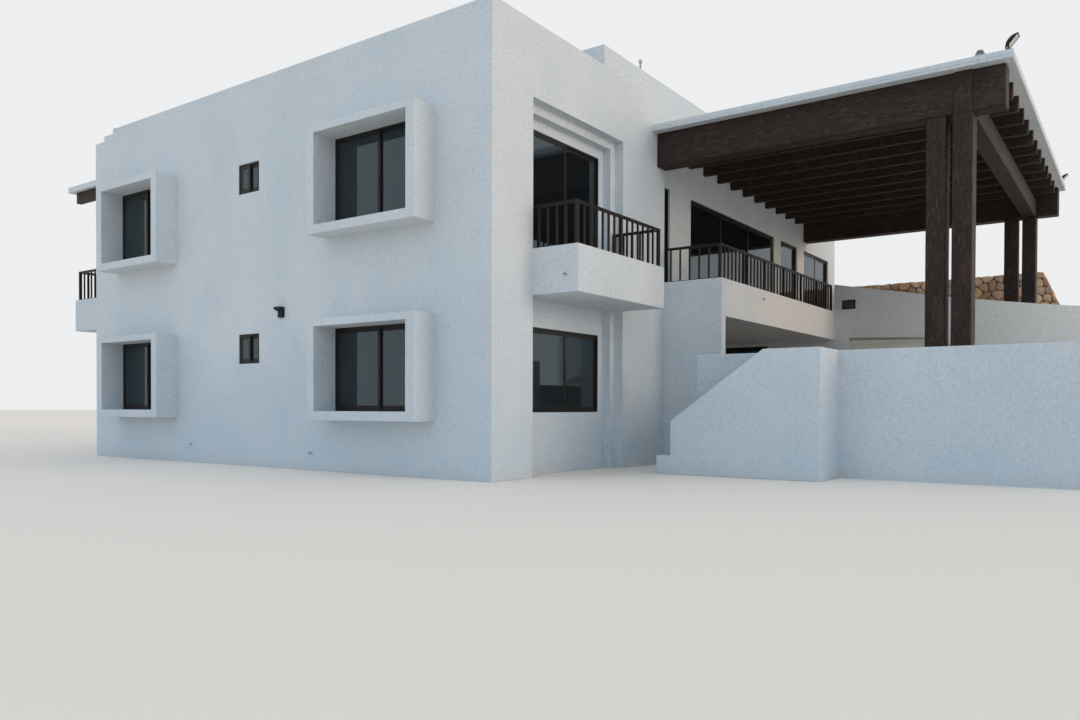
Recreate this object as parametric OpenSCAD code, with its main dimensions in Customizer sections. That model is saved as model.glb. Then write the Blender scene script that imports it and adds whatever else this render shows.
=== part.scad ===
// Two-storey beach house with a roofed terrace, a swept terrace wall and a walled garden stair.
// X runs along the front, Y runs back along the left end wall, and Z is up.
// The origin is the foot of the near corner, on the base plane. All lengths are millimetres.

/* [House walls] */
// Length of the left end wall
house_length = 11380; // [10900:10:13000]
// Width of the near block's front face
main_width = 5480; // [5200:10:6500]
// Width of the wing beside the near block
wing_width = 11770; // [11500:10:13000]
// How far the wing's front stands behind the near block's front
wing_setback = 150; // [60:10:220]
// Thickness of the outer walls
wall_t = 200; // [160:10:260]
// Thickness of the near block's front wall, deep enough for its stepped recess
front_wall_t = 410; // [390:10:480]

/* [Levels] */
// Top of the ground floor
ground_floor_z = 170; // [120:10:400]
// Top of the upper floor
upper_floor_z = 3320; // [3250:10:3450]
// Top of the roof slab
roof_z = 6520; // [6350:10:6700]
// Thickness of the floors and the roof
slab_t = 200; // [150:10:260]
// Top of the near block's parapet
parapet_z = 7190; // [7100:10:7350]
// Top of the raised parapet round the wing
raised_z = 7670; // [7450:10:8000]
// Where the raised parapet starts along the front
raised_x = 3420; // [2500:10:4500]
// Drop of each step at the rear end of the left parapet
parapet_step_h = 110; // [60:10:160]
// Length of each of those two steps
parapet_step_l = 365; // [250:5:450]
// Height of the shallow band below each parapet's top
band_drop = 115; // [80:5:160]
// How far the wall above that band stands back
band_depth = 18; // [8:1:30]

/* [Windows of the left wall] */
// Start of the near large windows, from the near corner
near_box_y = 1320; // [1000:5:1600]
// Distance from the far large windows to the rear corner
far_box_gap = 1105; // [800:5:1500]
// Clear widths of the near and far large windows
box_window_w = [2115, 1920]; // [1500:5:2300]
// Sills of the lower and upper large windows
box_sill_z = [1040, 4140]; // [800:10:4300]
// Heads of the lower and upper large windows
box_head_z = [2450, 5665]; // [2200:10:5900]
// Thickness of a window box's sides
box_side_t = 185; // [120:5:220]
// Thickness of its top
box_top_t = 120; // [80:5:160]
// Thickness of its sill
box_sill_t = 152; // [100:2:200]
// How far a window box stands out from the wall
box_depth = 460; // [300:10:600]
// Start of the small bathroom windows, from the near corner
small_y = 5510; // [5000:10:6500]
// Width of the small windows
small_w = 610; // [400:10:900]
// Sills of the lower and upper small windows
small_sill_z = [1915, 5100]; // [1700:5:5300]
// Height of the small windows
small_h = 553; // [400:1:700]

/* [Front recess] */
// Start of the recess, from the near corner
recess_x = 1030; // [900:10:1300]
// Width of the recess
recess_w = 2810; // [2600:10:3000]
// Top of the recess
recess_top_z = 5987; // [5900:1:6200]
// Width and depth of the outer step of its jambs
outer_step = [180, 165]; // [120:5:240]
// Width and depth of the inner step of its jambs
inner_step = [160, 150]; // [120:5:220]
// Fall of the head at the outer and the inner step
head_fall = [158, 177]; // [100:1:220]
// Sill of the lower front window
front_sill_z = 1030; // [900:10:1200]
// Head of the lower front window
front_head_z = 2430; // [2200:10:2600]

/* [Wing openings] */
// Starts of the upper openings, from the wing's near end
upper_at = [120, 1520, 7020, 8870]; // [100:10:10000]
// Widths of the upper openings
upper_w = [420, 5000, 1280, 2250]; // [400:10:5200]
// Sliding panels in the upper openings
upper_panels = [1, 3, 1, 2]; // [1:1:4]
// Head of the upper openings
upper_head_z = 5590; // [5400:10:5700]
// How far the porch under the terrace reaches back into the wing
porch_depth = 1800; // [1600:10:2400]
// Starts of the porch's back doors, from the wing's near end
porch_at = [900, 4300]; // [500:10:4600]
// Widths of the porch's back doors
porch_w = [2800, 2000]; // [1200:10:2900]
// Start and width of the door in the porch's far side, from the wing's front
side_door = [400, 1200]; // [300:10:1300]
// Head of the door in the porch's far side
side_head_z = 2780; // [2400:10:2800]
// Distance from the porch's far side to the door under the deck, and its width
deck_door = [1830, 1900]; // [1200:10:2400]
// Head of the other lower doors
lower_head_z = 2610; // [2400:10:2700]

/* [Rear and right openings] */
// Starts of the rear openings on both storeys, from the left wall's outer face
rear_at = [900, 4500, 9100, 13200]; // [800:10:14000]
// Widths of the rear openings
rear_w = [2400, 2400, 2115, 2115]; // [1500:5:2800]
// Starts of the right wall's openings, from the wing's front face
right_at = [1500, 7700]; // [1000:10:8500]
// Widths of the right wall's openings
right_w = [2115, 1920]; // [1500:5:2300]

/* [Window frames] */
// Face width of a frame bar
frame_w = 55; // [40:1:80]
// Depth of a frame
frame_d = 60; // [50:1:75]
// Thickness of the glass
glass_t = 12; // [6:1:20]
// How far a frame stands behind its opening's outer edge
frame_inset = 12; // [8:1:20]

/* [Balconies and terrace] */
// Underside of the balcony and terrace bands
band_bottom_z = 2880; // [2800:10:2950]
// Top of those bands
band_top_z = 3610; // [3550:10:3700]
// Thickness of the upstand that carries a railing
upstand_t = 150; // [120:5:200]
// How far the front balcony stands out
balcony_depth = 850; // [700:10:1100]
// How far the terrace stands out from the near block's front
terrace_depth = 1234; // [1100:2:1400]
// Length of the terrace, up to the swept wall
terrace_length = 7120; // [7050:10:7500]
// Thickness of the wall under the terrace's near end, its far one being as thick as the swept wall
end_wall_t = 180; // [150:10:300]
// Start of the rear balcony, from the left wall's outer face
rear_balcony_x = 250; // [220:10:600]
// Length of the rear balcony
rear_balcony_l = 7400; // [7000:10:8500]
// How far the rear balcony stands out
rear_balcony_depth = 1450; // [1200:10:1700]

/* [Railings] */
// Height of the railings above their upstand
rail_h = 680; // [600:10:900]
// Thickness of the posts, and width of the rails
post_t = 55; // [40:1:70]
// Height of the top rail
top_rail_t = 45; // [30:1:60]
// Height of the bottom rail in the returns
foot_rail_t = 22; // [15:1:30]
// Thickness of the upright bars
bar_t = 30; // [16:1:36]
// How far a railing's centre line stands in from the upstand's face
rail_inset = 80; // [60:1:100]
// Bays and bars a bay along the front balcony
balcony_bays = [2, 6]; // [1:1:12]
// Bays and bars a bay along the terrace
terrace_bays = [6, 5]; // [1:1:12]
// Bays and bars a bay along the rear balcony
rear_bays = [6, 6]; // [1:1:12]
// Bars in the return of each railing
return_bars = [4, 5, 7]; // [1:1:12]

/* [Swept wall and deck] */
// Radius of the swept wall's outer face in plan
sweep_r = 18300; // [17000:100:22000]
// Thickness of the swept wall
sweep_t = 200; // [160:10:260]
// Top of the swept wall where it meets the terrace
sweep_high_z = 4310; // [4200:10:4500]
// Top of the swept wall at its low end
sweep_low_z = 3430; // [3350:10:3600]
// How strongly its top edge sags, 1 for a straight fall
sweep_sag = 1.4; // [1:0.1:2]
// Length of the pier where the swept wall starts
pier_l = 350; // [250:10:500]
// Lower edge of the swept wall at the pier, at its bend and at its end
sweep_under_z = [2920, 2860, 1850]; // [1700:10:3000]
// Distance of that bend from the wall's start
sweep_bend = 2070; // [1500:10:2600]
// How far the base wall stands back under the swept wall
base_back = 250; // [210:5:400]
// How far the outdoor walls run out from the near block's front
grounds_end = 7430; // [7300:10:7900]
// Thickness of the rubble wall
rubble_t = 400; // [300:10:500]
// Top of the rubble wall
rubble_z = 4870; // [4500:10:5200]
// Where the rubble wall's top starts to slope, and where the slope ends
rubble_slope_y = [5500, 6150]; // [5000:10:6800]

/* [Pergola roof] */
// How far the roof slab laps past the near block's right corner
slab_lap = 510; // [450:10:600]
// How far the slab runs on past the far beam
far_lap = 180; // [100:10:400]
// How far the slab reaches out from the near block's front
pergola_reach = 6170; // [6150:10:6600]
// Underside of the roof slab
pergola_z = 6480; // [6400:10:6490]
// Thickness of the roof slab
pergola_t = 130; // [100:5:180]
// How far the near beam laps past the near block's right corner
beam_lap = 330; // [300:10:360]
// Distance from the terrace's far end to the far beam
far_beam_gap = 1700; // [1500:10:2000]
// Width and depth of a main beam
beam_size = [350, 660]; // [300:10:700]
// How far the slab overhangs the beams' outer ends
beam_short = 115; // [60:5:125]
// Depth of the joists
joist_h = 260; // [180:5:300]
// Width of the joists
joist_w = 120; // [80:5:160]
// Number of joists
joist_count = 11; // [8:1:13]
// How far the slab overhangs the joists' outer ends
joist_short = 140; // [125:5:220]
// Outer face of the outer column of each pair
column_out = 5600; // [5400:10:5700]
// Size of a column along Y
column_l = 300; // [240:5:350]
// Gap between the columns of a pair
column_gap = 95; // [60:5:200]
// How far the outer column's cheek stands past the beam's face
cheek_t = 30; // [15:5:60]
// Radius on the edges of beams and columns
edge_r = 18; // [6:1:30]

/* [Rear canopy] */
// Near edge of the canopy, from the left wall's outer face
canopy_x = 300; // [210:10:600]
// Length of the canopy
canopy_l = 7300; // [7000:10:8500]
// How far the canopy reaches out from the rear wall
canopy_reach = 1880; // [1600:10:2100]
// Underside of the canopy slab
canopy_z = 6210; // [6150:10:6300]
// How far the canopy slab overhangs its joists
canopy_short = 190; // [150:10:400]
// Distance from the canopy's ends to its end joists
canopy_edge = 100; // [50:10:300]
// Number of canopy joists
canopy_joists = 9; // [6:1:12]

/* [Garden wall and stair] */
// Distance from the garden wall's near face to the near block's right corner
garden_lap = 1490; // [1200:10:1600]
// Thickness of the garden wall
garden_t = 200; // [160:10:260]
// Top of the garden wall
garden_z = 2040; // [1950:10:2200]
// Where the garden wall starts, out from the near block's front
garden_start = 1430; // [1300:10:1600]
// Distance from the stair parapet's outer face to the garden wall
stair_w = 940; // [800:10:1100]
// Thickness of the stair's parapet
stair_wall_t = 150; // [120:10:200]
// Where the first step starts, out from the near block's front
stair_start = 1120; // [1000:10:1250]
// Height of the plane that the first step rises from
sand_z = 120; // [80:5:160]
// Number of steps
step_count = 8; // [6:1:9]
// Rise of a step
step_rise = 190; // [160:1:200]
// Going of a step
step_going = 265; // [240:1:290]
// Length of the landing
landing_l = 905; // [800:5:1100]
// Thickness of the raised terrace's slab
raised_slab_t = 200; // [150:10:250]

/* [Lamps and vents] */
// Low near corner of the wall lamp, along the left wall and up
lamp_at = [4772, 2716]; // [2500:1:5400]
// Width and height of the wall lamp
lamp_size = [152, 188]; // [100:1:300]
// Depth of the lamp's body and reach of its hood
lamp_reach = [48, 125]; // [30:1:200]
// Thickness of the hood at its lip and at the body
hood_t = [40, 68]; // [20:1:90]
// Width, thickness and height of a floodlight's head
flood_size = [200, 66, 265]; // [40:1:400]
// Lean of a floodlight's head
flood_lean = 41; // [20:1:60]
// Distance of the floodlights' feet from the slab's near or far edge and from its outer edge
flood_at = [130, 90]; // [50:5:250]
// Size and height of a floodlight's foot
flood_foot = [44, 34]; // [20:1:80]
// How far its foot runs up into its head
flood_lap = 54; // [50:1:80]
// Radius of the vent pipe and of its cap
vent_r = [20, 36]; // [15:1:60]
// Top of the vent pipe
vent_z = 8190; // [7900:10:8400]
// Height of its cap
vent_cap_h = 55; // [30:5:80]
// Place of the vent pipe, from the near block's right corner and from its front
vent_at = [80, 600]; // [50:10:900]
// Width and height of the louvre in the swept wall
louvre_size = [326, 232]; // [120:2:600]
// Middle of the louvre along the swept wall, and its underside
louvre_at = [370, 3650]; // [300:10:3700]
// Cells along and up the louvre
louvre_cells = [6, 4]; // [2:1:8]
// Thickness of the louvre's rim, bars and body
louvre_t = [32, 14, 26]; // [8:1:40]
// Radius and length of the drain spouts
spout_size = [24, 45]; // [15:1:80]
// Place of the balcony's spout, out from the near block's front and up
balcony_spout = [625, 3155]; // [500:5:3300]
// Place of the terrace's spout, from the wing's near end and up
terrace_spout = [2125, 3416]; // [1000:1:3500]
// Places of the two spouts at the foot of the left wall, along it and up
foot_spouts = [[4050, 302], [7683, 359]]; // [200:1:9000]
// Centre of the vent hood on the slab's near edge, out from the near block's front
hood_at = 5710; // [3000:10:5900]
// Width, depth and height of that vent hood
hood_size = [152, 170, 80]; // [50:1:250]

/* [Hidden] */

white = [0.93, 0.93, 0.92];
dark_wood = [0.20, 0.14, 0.11];
bronze = [0.12, 0.10, 0.09];
tint = [0.15, 0.17, 0.20, 0.6];
stone = [0.55, 0.45, 0.36];
cream = [0.90, 0.85, 0.74];

cut = 10;
round_fn = 48;
edge_fn = 16;
house_end_x = main_width + wing_width;
wing_front_y = wing_setback;
wing_back_y = wing_setback + wall_t;
inner_end_y = house_length - wall_t;
inner_end_x = house_end_x - wall_t;
floor_under_z = upper_floor_z - slab_t;
box_y = [near_box_y, house_length - far_box_gap - box_window_w[1]];

recess_head_z = recess_top_z - head_fall[0] - head_fall[1];
front_open_x = recess_x + outer_step[0] + inner_step[0];
front_open_w = recess_w - 2 * (outer_step[0] + inner_step[0]);
front_open_y = outer_step[1] + inner_step[1];

swept_x = main_width + terrace_length;
terrace_end_x = swept_x + sweep_t;
sweep_l = grounds_end - terrace_depth;
sweep_angle = asin(sweep_l / sweep_r);
sweep_centre = [swept_x + sweep_r, -terrace_depth];
sweep_points = 24;
sweep_pitch = sweep_l / sweep_points;
sweep_fn = 1440;
base_r = sweep_r - base_back;
base_tip_x = swept_x + sweep_r - sqrt(pow(base_r, 2) - pow(sweep_l, 2));
tip_cut = 3;

porch_back_y = wing_front_y + porch_depth;
porch_deep_y = porch_back_y + wall_t;
porch_side_x = swept_x + wall_t;

beam_x = [main_width - beam_lap, swept_x + far_beam_gap];
pergola_x = main_width - slab_lap;
pergola_end_x = beam_x[1] + beam_size[0] + far_lap;
pergola_top_z = pergola_z + pergola_t;
beam_under_z = pergola_z - beam_size[1];
joist_under_z = pergola_z - joist_h;
beam_end_y = pergola_reach - beam_short;
column_in_y = column_out - 2 * column_l - column_gap;

garden_x = main_width - garden_lap;
stair_x = garden_x - stair_w;
stair_in_x = stair_x + stair_wall_t;
landing_y = stair_start + step_going * (step_count - 1);
landing_z = sand_z + step_rise * step_count;
stair_end_y = landing_y + landing_l;
garden_in_x = garden_x + garden_t;
rail_line = rail_inset - post_t / 2;
hood_top_w = hood_size[0] / 2;
spout_bore = 0.7;

// A box between two corners
module span_box(low, high) {
    translate(low) cube(high - low);
}

// A rectangle with small round corners, its low corner at the origin
module soft_rect(size, r) {
    translate([r, 0]) square([size[0] - 2 * r, size[1]]);
    translate([0, r]) square([size[0], size[1] - 2 * r]);
    for (x = [r, size[0] - r], y = [r, size[1] - r]) translate([x, y]) circle(r = r, $fn = edge_fn);
}

// A bar with soft edges along Z
module soft_post(size, h) {
    linear_extrude(h) soft_rect(size, edge_r);
}

// A bar with soft edges along -Y, from the origin
module soft_beam_y(size, l) {
    rotate([90, 0, 0]) linear_extrude(l) soft_rect(size, edge_r);
}

// A bar with soft edges along +X, from the origin
module soft_beam_x(size, l) {
    rotate([90, 0, 90]) linear_extrude(l) soft_rect(size, edge_r);
}

// Width of one pane in an opening
function pane_w(w, panels) = (w - (panels + 1) * frame_w) / panels;

// A sliding window's frame: X along the wall, Y into it
module frame(w, h, panels) {
    pane = pane_w(w, panels);
    difference() {
        cube([w, frame_d, h]);
        for (i = [0:panels - 1])
            translate([frame_w + i * (pane + frame_w), -cut, frame_w])
                cube([pane, frame_d + 2 * cut, h - 2 * frame_w]);
    }
}

// The panes that fill that frame
module glass(w, h, panels) {
    pane = pane_w(w, panels);
    for (i = [0:panels - 1])
        translate([frame_w + i * (pane + frame_w), (frame_d - glass_t) / 2, frame_w])
            cube([pane, glass_t, h - 2 * frame_w]);
}

// One window, as its frame or as its glass
module window(part, w, h, panels) {
    if (part == "frame") frame(w, h, panels);
    else glass(w, h, panels);
}

// A railing run along +X with its posts, top rail and upright bars
module railing_run(l, bays, bars) {
    bay = (l - post_t) / bays;
    translate([0, 0, rail_h - top_rail_t]) cube([l, post_t, top_rail_t]);
    for (i = [0:bays]) translate([i * bay, 0, 0]) cube([post_t, post_t, rail_h]);
    for (i = [0:bays - 1], k = [1:bars])
        translate([i * bay + post_t + k * (bay - post_t) / (bars + 1) - bar_t / 2,
            (post_t - bar_t) / 2, 0]) cube([bar_t, bar_t, rail_h]);
}

// The left end wall, with two steps at the rear end of its parapet
module left_wall() {
    color(white) difference() {
        rotate([90, 0, 90]) linear_extrude(wall_t) polygon([
            [0, 0], [house_length, 0],
            [house_length, parapet_z - 2 * parapet_step_h],
            [house_length - parapet_step_l, parapet_z - 2 * parapet_step_h],
            [house_length - parapet_step_l, parapet_z - parapet_step_h],
            [house_length - 2 * parapet_step_l, parapet_z - parapet_step_h],
            [house_length - 2 * parapet_step_l, parapet_z], [0, parapet_z]]);
        for (i = [0:1], k = [0:1])
            translate([-cut, box_y[i], box_sill_z[k]])
                cube([wall_t + 2 * cut, box_window_w[i], box_head_z[k] - box_sill_z[k]]);
        for (z = small_sill_z)
            translate([-cut, small_y, z]) cube([wall_t + 2 * cut, small_w, small_h]);
        span_box([-cut, -cut, parapet_z - band_drop],
            [band_depth, house_length - 2 * parapet_step_l - band_drop, parapet_z + cut]);
    }
}

// The near block's front wall, with its stepped recess from the ground up
module front_wall() {
    color(white) difference() {
        span_box([wall_t, 0, 0], [main_width, front_wall_t, parapet_z]);
        span_box([recess_x, -cut, -cut], [recess_x + recess_w, outer_step[1], recess_top_z]);
        span_box([recess_x + outer_step[0], -cut, -cut],
            [recess_x + recess_w - outer_step[0], front_open_y, recess_top_z - head_fall[0]]);
        span_box([front_open_x, -cut, front_sill_z],
            [front_open_x + front_open_w, front_wall_t + cut, front_head_z]);
        span_box([front_open_x, -cut, upper_floor_z],
            [front_open_x + front_open_w, front_wall_t + cut, recess_head_z]);
        span_box([-cut, -cut, parapet_z - band_drop], [main_width + cut, band_depth, parapet_z + cut]);
    }
}

// Plan of the wing's lower wall, which steps back round the porch
module lower_wall_plan() {
    polygon([[main_width - wall_t, front_wall_t], [main_width, front_wall_t], [main_width, porch_back_y],
        [swept_x, porch_back_y], [swept_x, wing_front_y], [inner_end_x, wing_front_y],
        [inner_end_x, wing_back_y], [porch_side_x, wing_back_y], [porch_side_x, porch_deep_y],
        [main_width - wall_t, porch_deep_y]]);
}

// A doorway cut through a lower wall that faces -Y
module doorway(x, y, w, head_z) {
    translate([x, y - cut, ground_floor_z]) cube([w, wall_t + 2 * cut, head_z - ground_floor_z]);
}

// The wing's wall on the ground storey, with the porch's back and sides
module lower_wing_wall() {
    color(white) difference() {
        union() {
            linear_extrude(floor_under_z) lower_wall_plan();
            span_box([swept_x, wing_front_y, floor_under_z], [inner_end_x, wing_back_y, upper_floor_z]);
        }
        for (i = [0:len(porch_at) - 1])
            doorway(main_width + porch_at[i], porch_back_y, porch_w[i], lower_head_z);
        doorway(swept_x + deck_door[0], wing_front_y, deck_door[1], lower_head_z);
        translate([swept_x - cut, wing_front_y + side_door[0], ground_floor_z])
            cube([wall_t + 2 * cut, side_door[1], side_head_z - ground_floor_z]);
    }
}

// The wing's wall on the upper storey
module upper_wing_wall() {
    color(white) difference() {
        span_box([main_width, wing_front_y, upper_floor_z], [inner_end_x, wing_back_y, parapet_z]);
        for (i = [0:len(upper_at) - 1])
            translate([main_width + upper_at[i], wing_front_y - cut, upper_floor_z])
                cube([upper_w[i], wall_t + 2 * cut, upper_head_z - upper_floor_z]);
    }
}

// The rear wall, with glazed doors to the rear balcony above
module rear_wall() {
    color(white) difference() {
        span_box([wall_t, inner_end_y, 0], [inner_end_x, house_length, parapet_z - 2 * parapet_step_h]);
        for (i = [0:len(rear_at) - 1]) {
            translate([rear_at[i], inner_end_y - cut, box_sill_z[0]])
                cube([rear_w[i], wall_t + 2 * cut, box_head_z[0] - box_sill_z[0]]);
            translate([rear_at[i], inner_end_y - cut, rear_sill_z(i)])
                cube([rear_w[i], wall_t + 2 * cut, box_head_z[1] - rear_sill_z(i)]);
        }
    }
}

// The upper rear openings are doors along the balcony, and windows past it
function rear_sill_z(i) =
    rear_at[i] + rear_w[i] < rear_balcony_x + rear_balcony_l ? upper_floor_z : box_sill_z[1];

// The right end wall
module right_wall() {
    color(white) difference() {
        span_box([inner_end_x, wing_front_y, 0], [house_end_x, house_length, parapet_z]);
        for (i = [0:1], k = [0:1])
            translate([inner_end_x - cut, wing_front_y + right_at[i], box_sill_z[k]])
                cube([wall_t + 2 * cut, right_w[i], box_head_z[k] - box_sill_z[k]]);
    }
}

// The raised parapet, which stands in the wing's front plane, on two walls and on the roof
module raised_parapet() {
    color(white) difference() {
        union() {
            span_box([raised_x, wing_front_y, parapet_z], [main_width, front_wall_t, raised_z]);
            span_box([main_width, wing_front_y, parapet_z], [house_end_x, wing_back_y, raised_z]);
            span_box([inner_end_x, wing_back_y, parapet_z], [house_end_x, house_length, raised_z]);
            span_box([raised_x, front_wall_t, roof_z], [raised_x + wall_t, inner_end_y, raised_z]);
            span_box([raised_x, inner_end_y, parapet_z - 2 * parapet_step_h],
                [inner_end_x, house_length, raised_z]);
        }
        span_box([raised_x - cut, wing_front_y - cut, raised_z - band_drop],
            [house_end_x + cut, wing_front_y + band_depth, raised_z + cut]);
    }
}

// A floor that fills the plan inside the walls
module inside_floor(top_z) {
    span_box([wall_t, front_wall_t, top_z - slab_t], [main_width, inner_end_y, top_z]);
    span_box([main_width, wing_back_y, top_z - slab_t], [inner_end_x, inner_end_y, top_z]);
}

// The ground floor, down to the base plane, cut round the porch's walls
module ground_floor() {
    color(white) difference() {
        union() {
            span_box([wall_t, front_wall_t, 0], [main_width, inner_end_y, ground_floor_z]);
            span_box([main_width, wing_front_y, 0], [inner_end_x, inner_end_y, ground_floor_z]);
        }
        translate([0, 0, -cut]) linear_extrude(ground_floor_z + 2 * cut) lower_wall_plan();
    }
}

module upper_floor() {
    color(white) inside_floor(upper_floor_z);
}

module roof_slab() {
    color(white) inside_floor(roof_z);
}

// The four plastered boxes that stand out round the large windows
module window_boxes() {
    color(white) for (i = [0:1], k = [0:1]) {
        low = [-box_depth, box_y[i] - box_side_t, box_sill_z[k] - box_sill_t];
        high = [0, box_y[i] + box_window_w[i] + box_side_t, box_head_z[k] + box_top_t];
        difference() {
            span_box(low, high);
            span_box([low[0] - cut, box_y[i], box_sill_z[k]],
                [cut, box_y[i] + box_window_w[i], box_head_z[k]]);
        }
    }
}

// The balcony's tray, which reaches back into the recess
module front_balcony() {
    x_end = recess_x + recess_w;
    color(white) difference() {
        union() {
            span_box([recess_x, -balcony_depth, band_bottom_z], [x_end, outer_step[1], band_top_z]);
            span_box([recess_x + outer_step[0], 0, band_bottom_z],
                [x_end - outer_step[0], front_open_y, upper_floor_z]);
        }
        span_box([recess_x + upstand_t, upstand_t - balcony_depth, upper_floor_z],
            [x_end - upstand_t, outer_step[1] + cut, band_top_z + cut]);
    }
}

// A railing round three sides of a tray that faces -Y
module railing_round(w, depth, bays, side_bars) {
    translate([rail_line, -depth + rail_line, 0])
        railing_run(w - 2 * rail_line, bays[0], bays[1]);
    for (x = [rail_line, w - rail_line - post_t])
        translate([x, -depth + rail_line, 0])
            side_run(depth - rail_line, side_bars);
}

// A return run, from its corner post back to the wall, with a bottom rail
module side_run(l, bars) {
    translate([post_t, 0, 0]) rotate([0, 0, 90]) {
        railing_run(l, 1, bars);
        cube([l, post_t, foot_rail_t]);
    }
}

module front_balcony_railing() {
    color(bronze) translate([recess_x, outer_step[1], band_top_z])
        railing_round(recess_w, balcony_depth + outer_step[1], balcony_bays, return_bars[0]);
}

// The terrace's tray between the wing and its own upstand, and the porch's ceiling behind it
module terrace_slab() {
    color(white) difference() {
        union() {
            span_box([main_width, -terrace_depth, band_bottom_z], [terrace_end_x, wing_front_y, band_top_z]);
            span_box([main_width, wing_front_y, band_bottom_z], [swept_x, wing_back_y, upper_floor_z]);
            span_box([main_width, wing_back_y, band_bottom_z], [swept_x, porch_back_y, floor_under_z]);
        }
        span_box([main_width + upstand_t, upstand_t - terrace_depth, upper_floor_z],
            [terrace_end_x + cut, wing_front_y + cut, band_top_z + cut]);
    }
}

module terrace_railing() {
    color(bronze) translate([main_width, 0, band_top_z]) {
        translate([rail_line, -terrace_depth + rail_line, 0])
            railing_run(terrace_length - rail_line, terrace_bays[0], terrace_bays[1]);
        translate([rail_line, -terrace_depth + rail_line, 0])
            side_run(terrace_depth - rail_line + wing_front_y, return_bars[1]);
    }
}

// The walls that close the space under the terrace at its two ends
module terrace_end_wall() {
    color(white) for (x = [[main_width, main_width + end_wall_t], [swept_x, terrace_end_x]])
        span_box([x[0], -terrace_depth, 0], [x[1], wing_front_y, band_bottom_z]);
}

// Height of the swept wall's top at a distance s along it
function sweep_z(s) = sweep_low_z + (sweep_high_z - sweep_low_z) * pow(max(0, 1 - s / sweep_l), sweep_sag);

// A round block that ends at a distance inside the swept wall's outer face
module sweep_block(inset, h) {
    translate(sweep_centre) cylinder(r = sweep_r - inset, h = h, $fn = sweep_fn);
}

// A curved wall along the sweep, at a distance inside the outer face
module sweep_ring(inset, t, h) {
    translate(sweep_centre) rotate([0, 0, 180]) rotate_extrude(angle = sweep_angle, $fn = sweep_fn)
        translate([sweep_r - inset - t, 0]) square([t, h]);
}

// The wall that sweeps out and down from the terrace's far end
module swept_wall() {
    color(white) intersection() {
        sweep_ring(0, sweep_t, sweep_high_z);
        translate([swept_x - sweep_t, -terrace_depth, 0]) mirror([0, 1, 0])
            rotate([90, 0, 90]) linear_extrude(sweep_r / 2) polygon(concat(
                [for (i = [0:sweep_points]) [i * sweep_pitch, sweep_z(i * sweep_pitch)]],
                [[sweep_l, sweep_under_z[2]], [sweep_bend, sweep_under_z[1]], [pier_l, sweep_under_z[0]],
                    [pier_l, 0], [0, 0]]));
    }
}

// The wall under the deck's edge, set back under the swept wall
module swept_base_wall() {
    color(cream) intersection() {
        sweep_ring(base_back, wall_t, floor_under_z);
        span_box([swept_x, -grounds_end, 0], [house_end_x, -terrace_depth, floor_under_z]);
    }
}

// A block in the plan of the deck behind the swept wall
module deck_plan(low_z, high_z) {
    intersection() {
        span_box([swept_x, -grounds_end, low_z], [house_end_x, -terrace_depth, high_z]);
        translate([0, 0, low_z]) sweep_block(sweep_t, high_z - low_z);
    }
}

// The deck, cut round the far columns
module upper_deck() {
    color(white) difference() {
        union() {
            deck_plan(floor_under_z, upper_floor_z);
            span_box([terrace_end_x, -terrace_depth, floor_under_z],
                [house_end_x, wing_front_y, upper_floor_z]);
        }
        column_pair(beam_x[1]);
    }
}

// The rubble wall along the deck's far side, with its sloped end
module rubble_wall() {
    color(stone) translate([house_end_x, 0, 0]) mirror([0, 1, 0]) rotate([90, 0, 90])
        linear_extrude(rubble_t) polygon([[-wing_front_y, 0], [grounds_end, 0],
            [grounds_end, upper_floor_z], [rubble_slope_y[1], upper_floor_z],
            [rubble_slope_y[0], rubble_z], [-wing_front_y, rubble_z]]);
}

// Plain walls that hold up the deck's end and the raised terrace's two ends
module retaining_walls() {
    color(white) {
        intersection() {
            sweep_block(base_back + wall_t, floor_under_z);
            span_box([swept_x, -grounds_end, 0], [house_end_x, wall_t - grounds_end, floor_under_z]);
        }
        for (y = [-landing_y - wall_t, -grounds_end])
            difference() {
                span_box([garden_in_x, y, 0], [swept_x + sweep_r, y + wall_t, landing_z - raised_slab_t]);
                translate([0, 0, -cut]) sweep_block(base_back, landing_z + 2 * cut);
            }
    }
}

// One pair of columns under a main beam. The outer one has a cheek that runs up past the beam.
module column_pair(x) {
    translate([x, -column_in_y - column_l, 0]) soft_post([beam_size[0], column_l], beam_under_z);
    translate([x - cheek_t, -column_out, 0])
        soft_post([beam_size[0] + cheek_t, column_l], beam_under_z);
    translate([x - cheek_t, edge_r - column_out, beam_under_z])
        cube([cheek_t, column_l - 2 * edge_r, pergola_z - beam_under_z]);
}

module pergola_columns() {
    color(dark_wood) for (x = beam_x) column_pair(x);
}

module pergola_beams() {
    color(dark_wood) for (i = [0:1])
        translate([beam_x[i], i == 0 ? 0 : wing_front_y, beam_under_z])
            soft_beam_y(beam_size, beam_end_y + (i == 0 ? 0 : wing_front_y));
}

// The beam along the roof, between the two main beams and under the joists
module pergola_girder() {
    color(dark_wood) translate([beam_x[0] + beam_size[0], -column_out, beam_under_z])
        soft_beam_x([column_l, joist_under_z - beam_under_z], beam_x[1] - beam_x[0] - beam_size[0]);
}

// Place of a joist between the main beams
function joist_x(i) = beam_x[0] + beam_size[0]
    + (i + 1) * (beam_x[1] - beam_x[0] - beam_size[0] + joist_w) / (joist_count + 1) - joist_w;

module pergola_joists() {
    color(dark_wood) for (i = [0:joist_count - 1])
        span_box([joist_x(i), joist_short - pergola_reach, joist_under_z],
            [joist_x(i) + joist_w, wing_front_y, pergola_z]);
}

// The roof slab, notched round the near block's corner
module pergola_slab() {
    color(white) {
        span_box([pergola_x, -pergola_reach, pergola_z], [pergola_end_x, 0, pergola_top_z]);
        span_box([main_width, 0, pergola_z], [pergola_end_x, wing_front_y, pergola_top_z]);
    }
}

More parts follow.
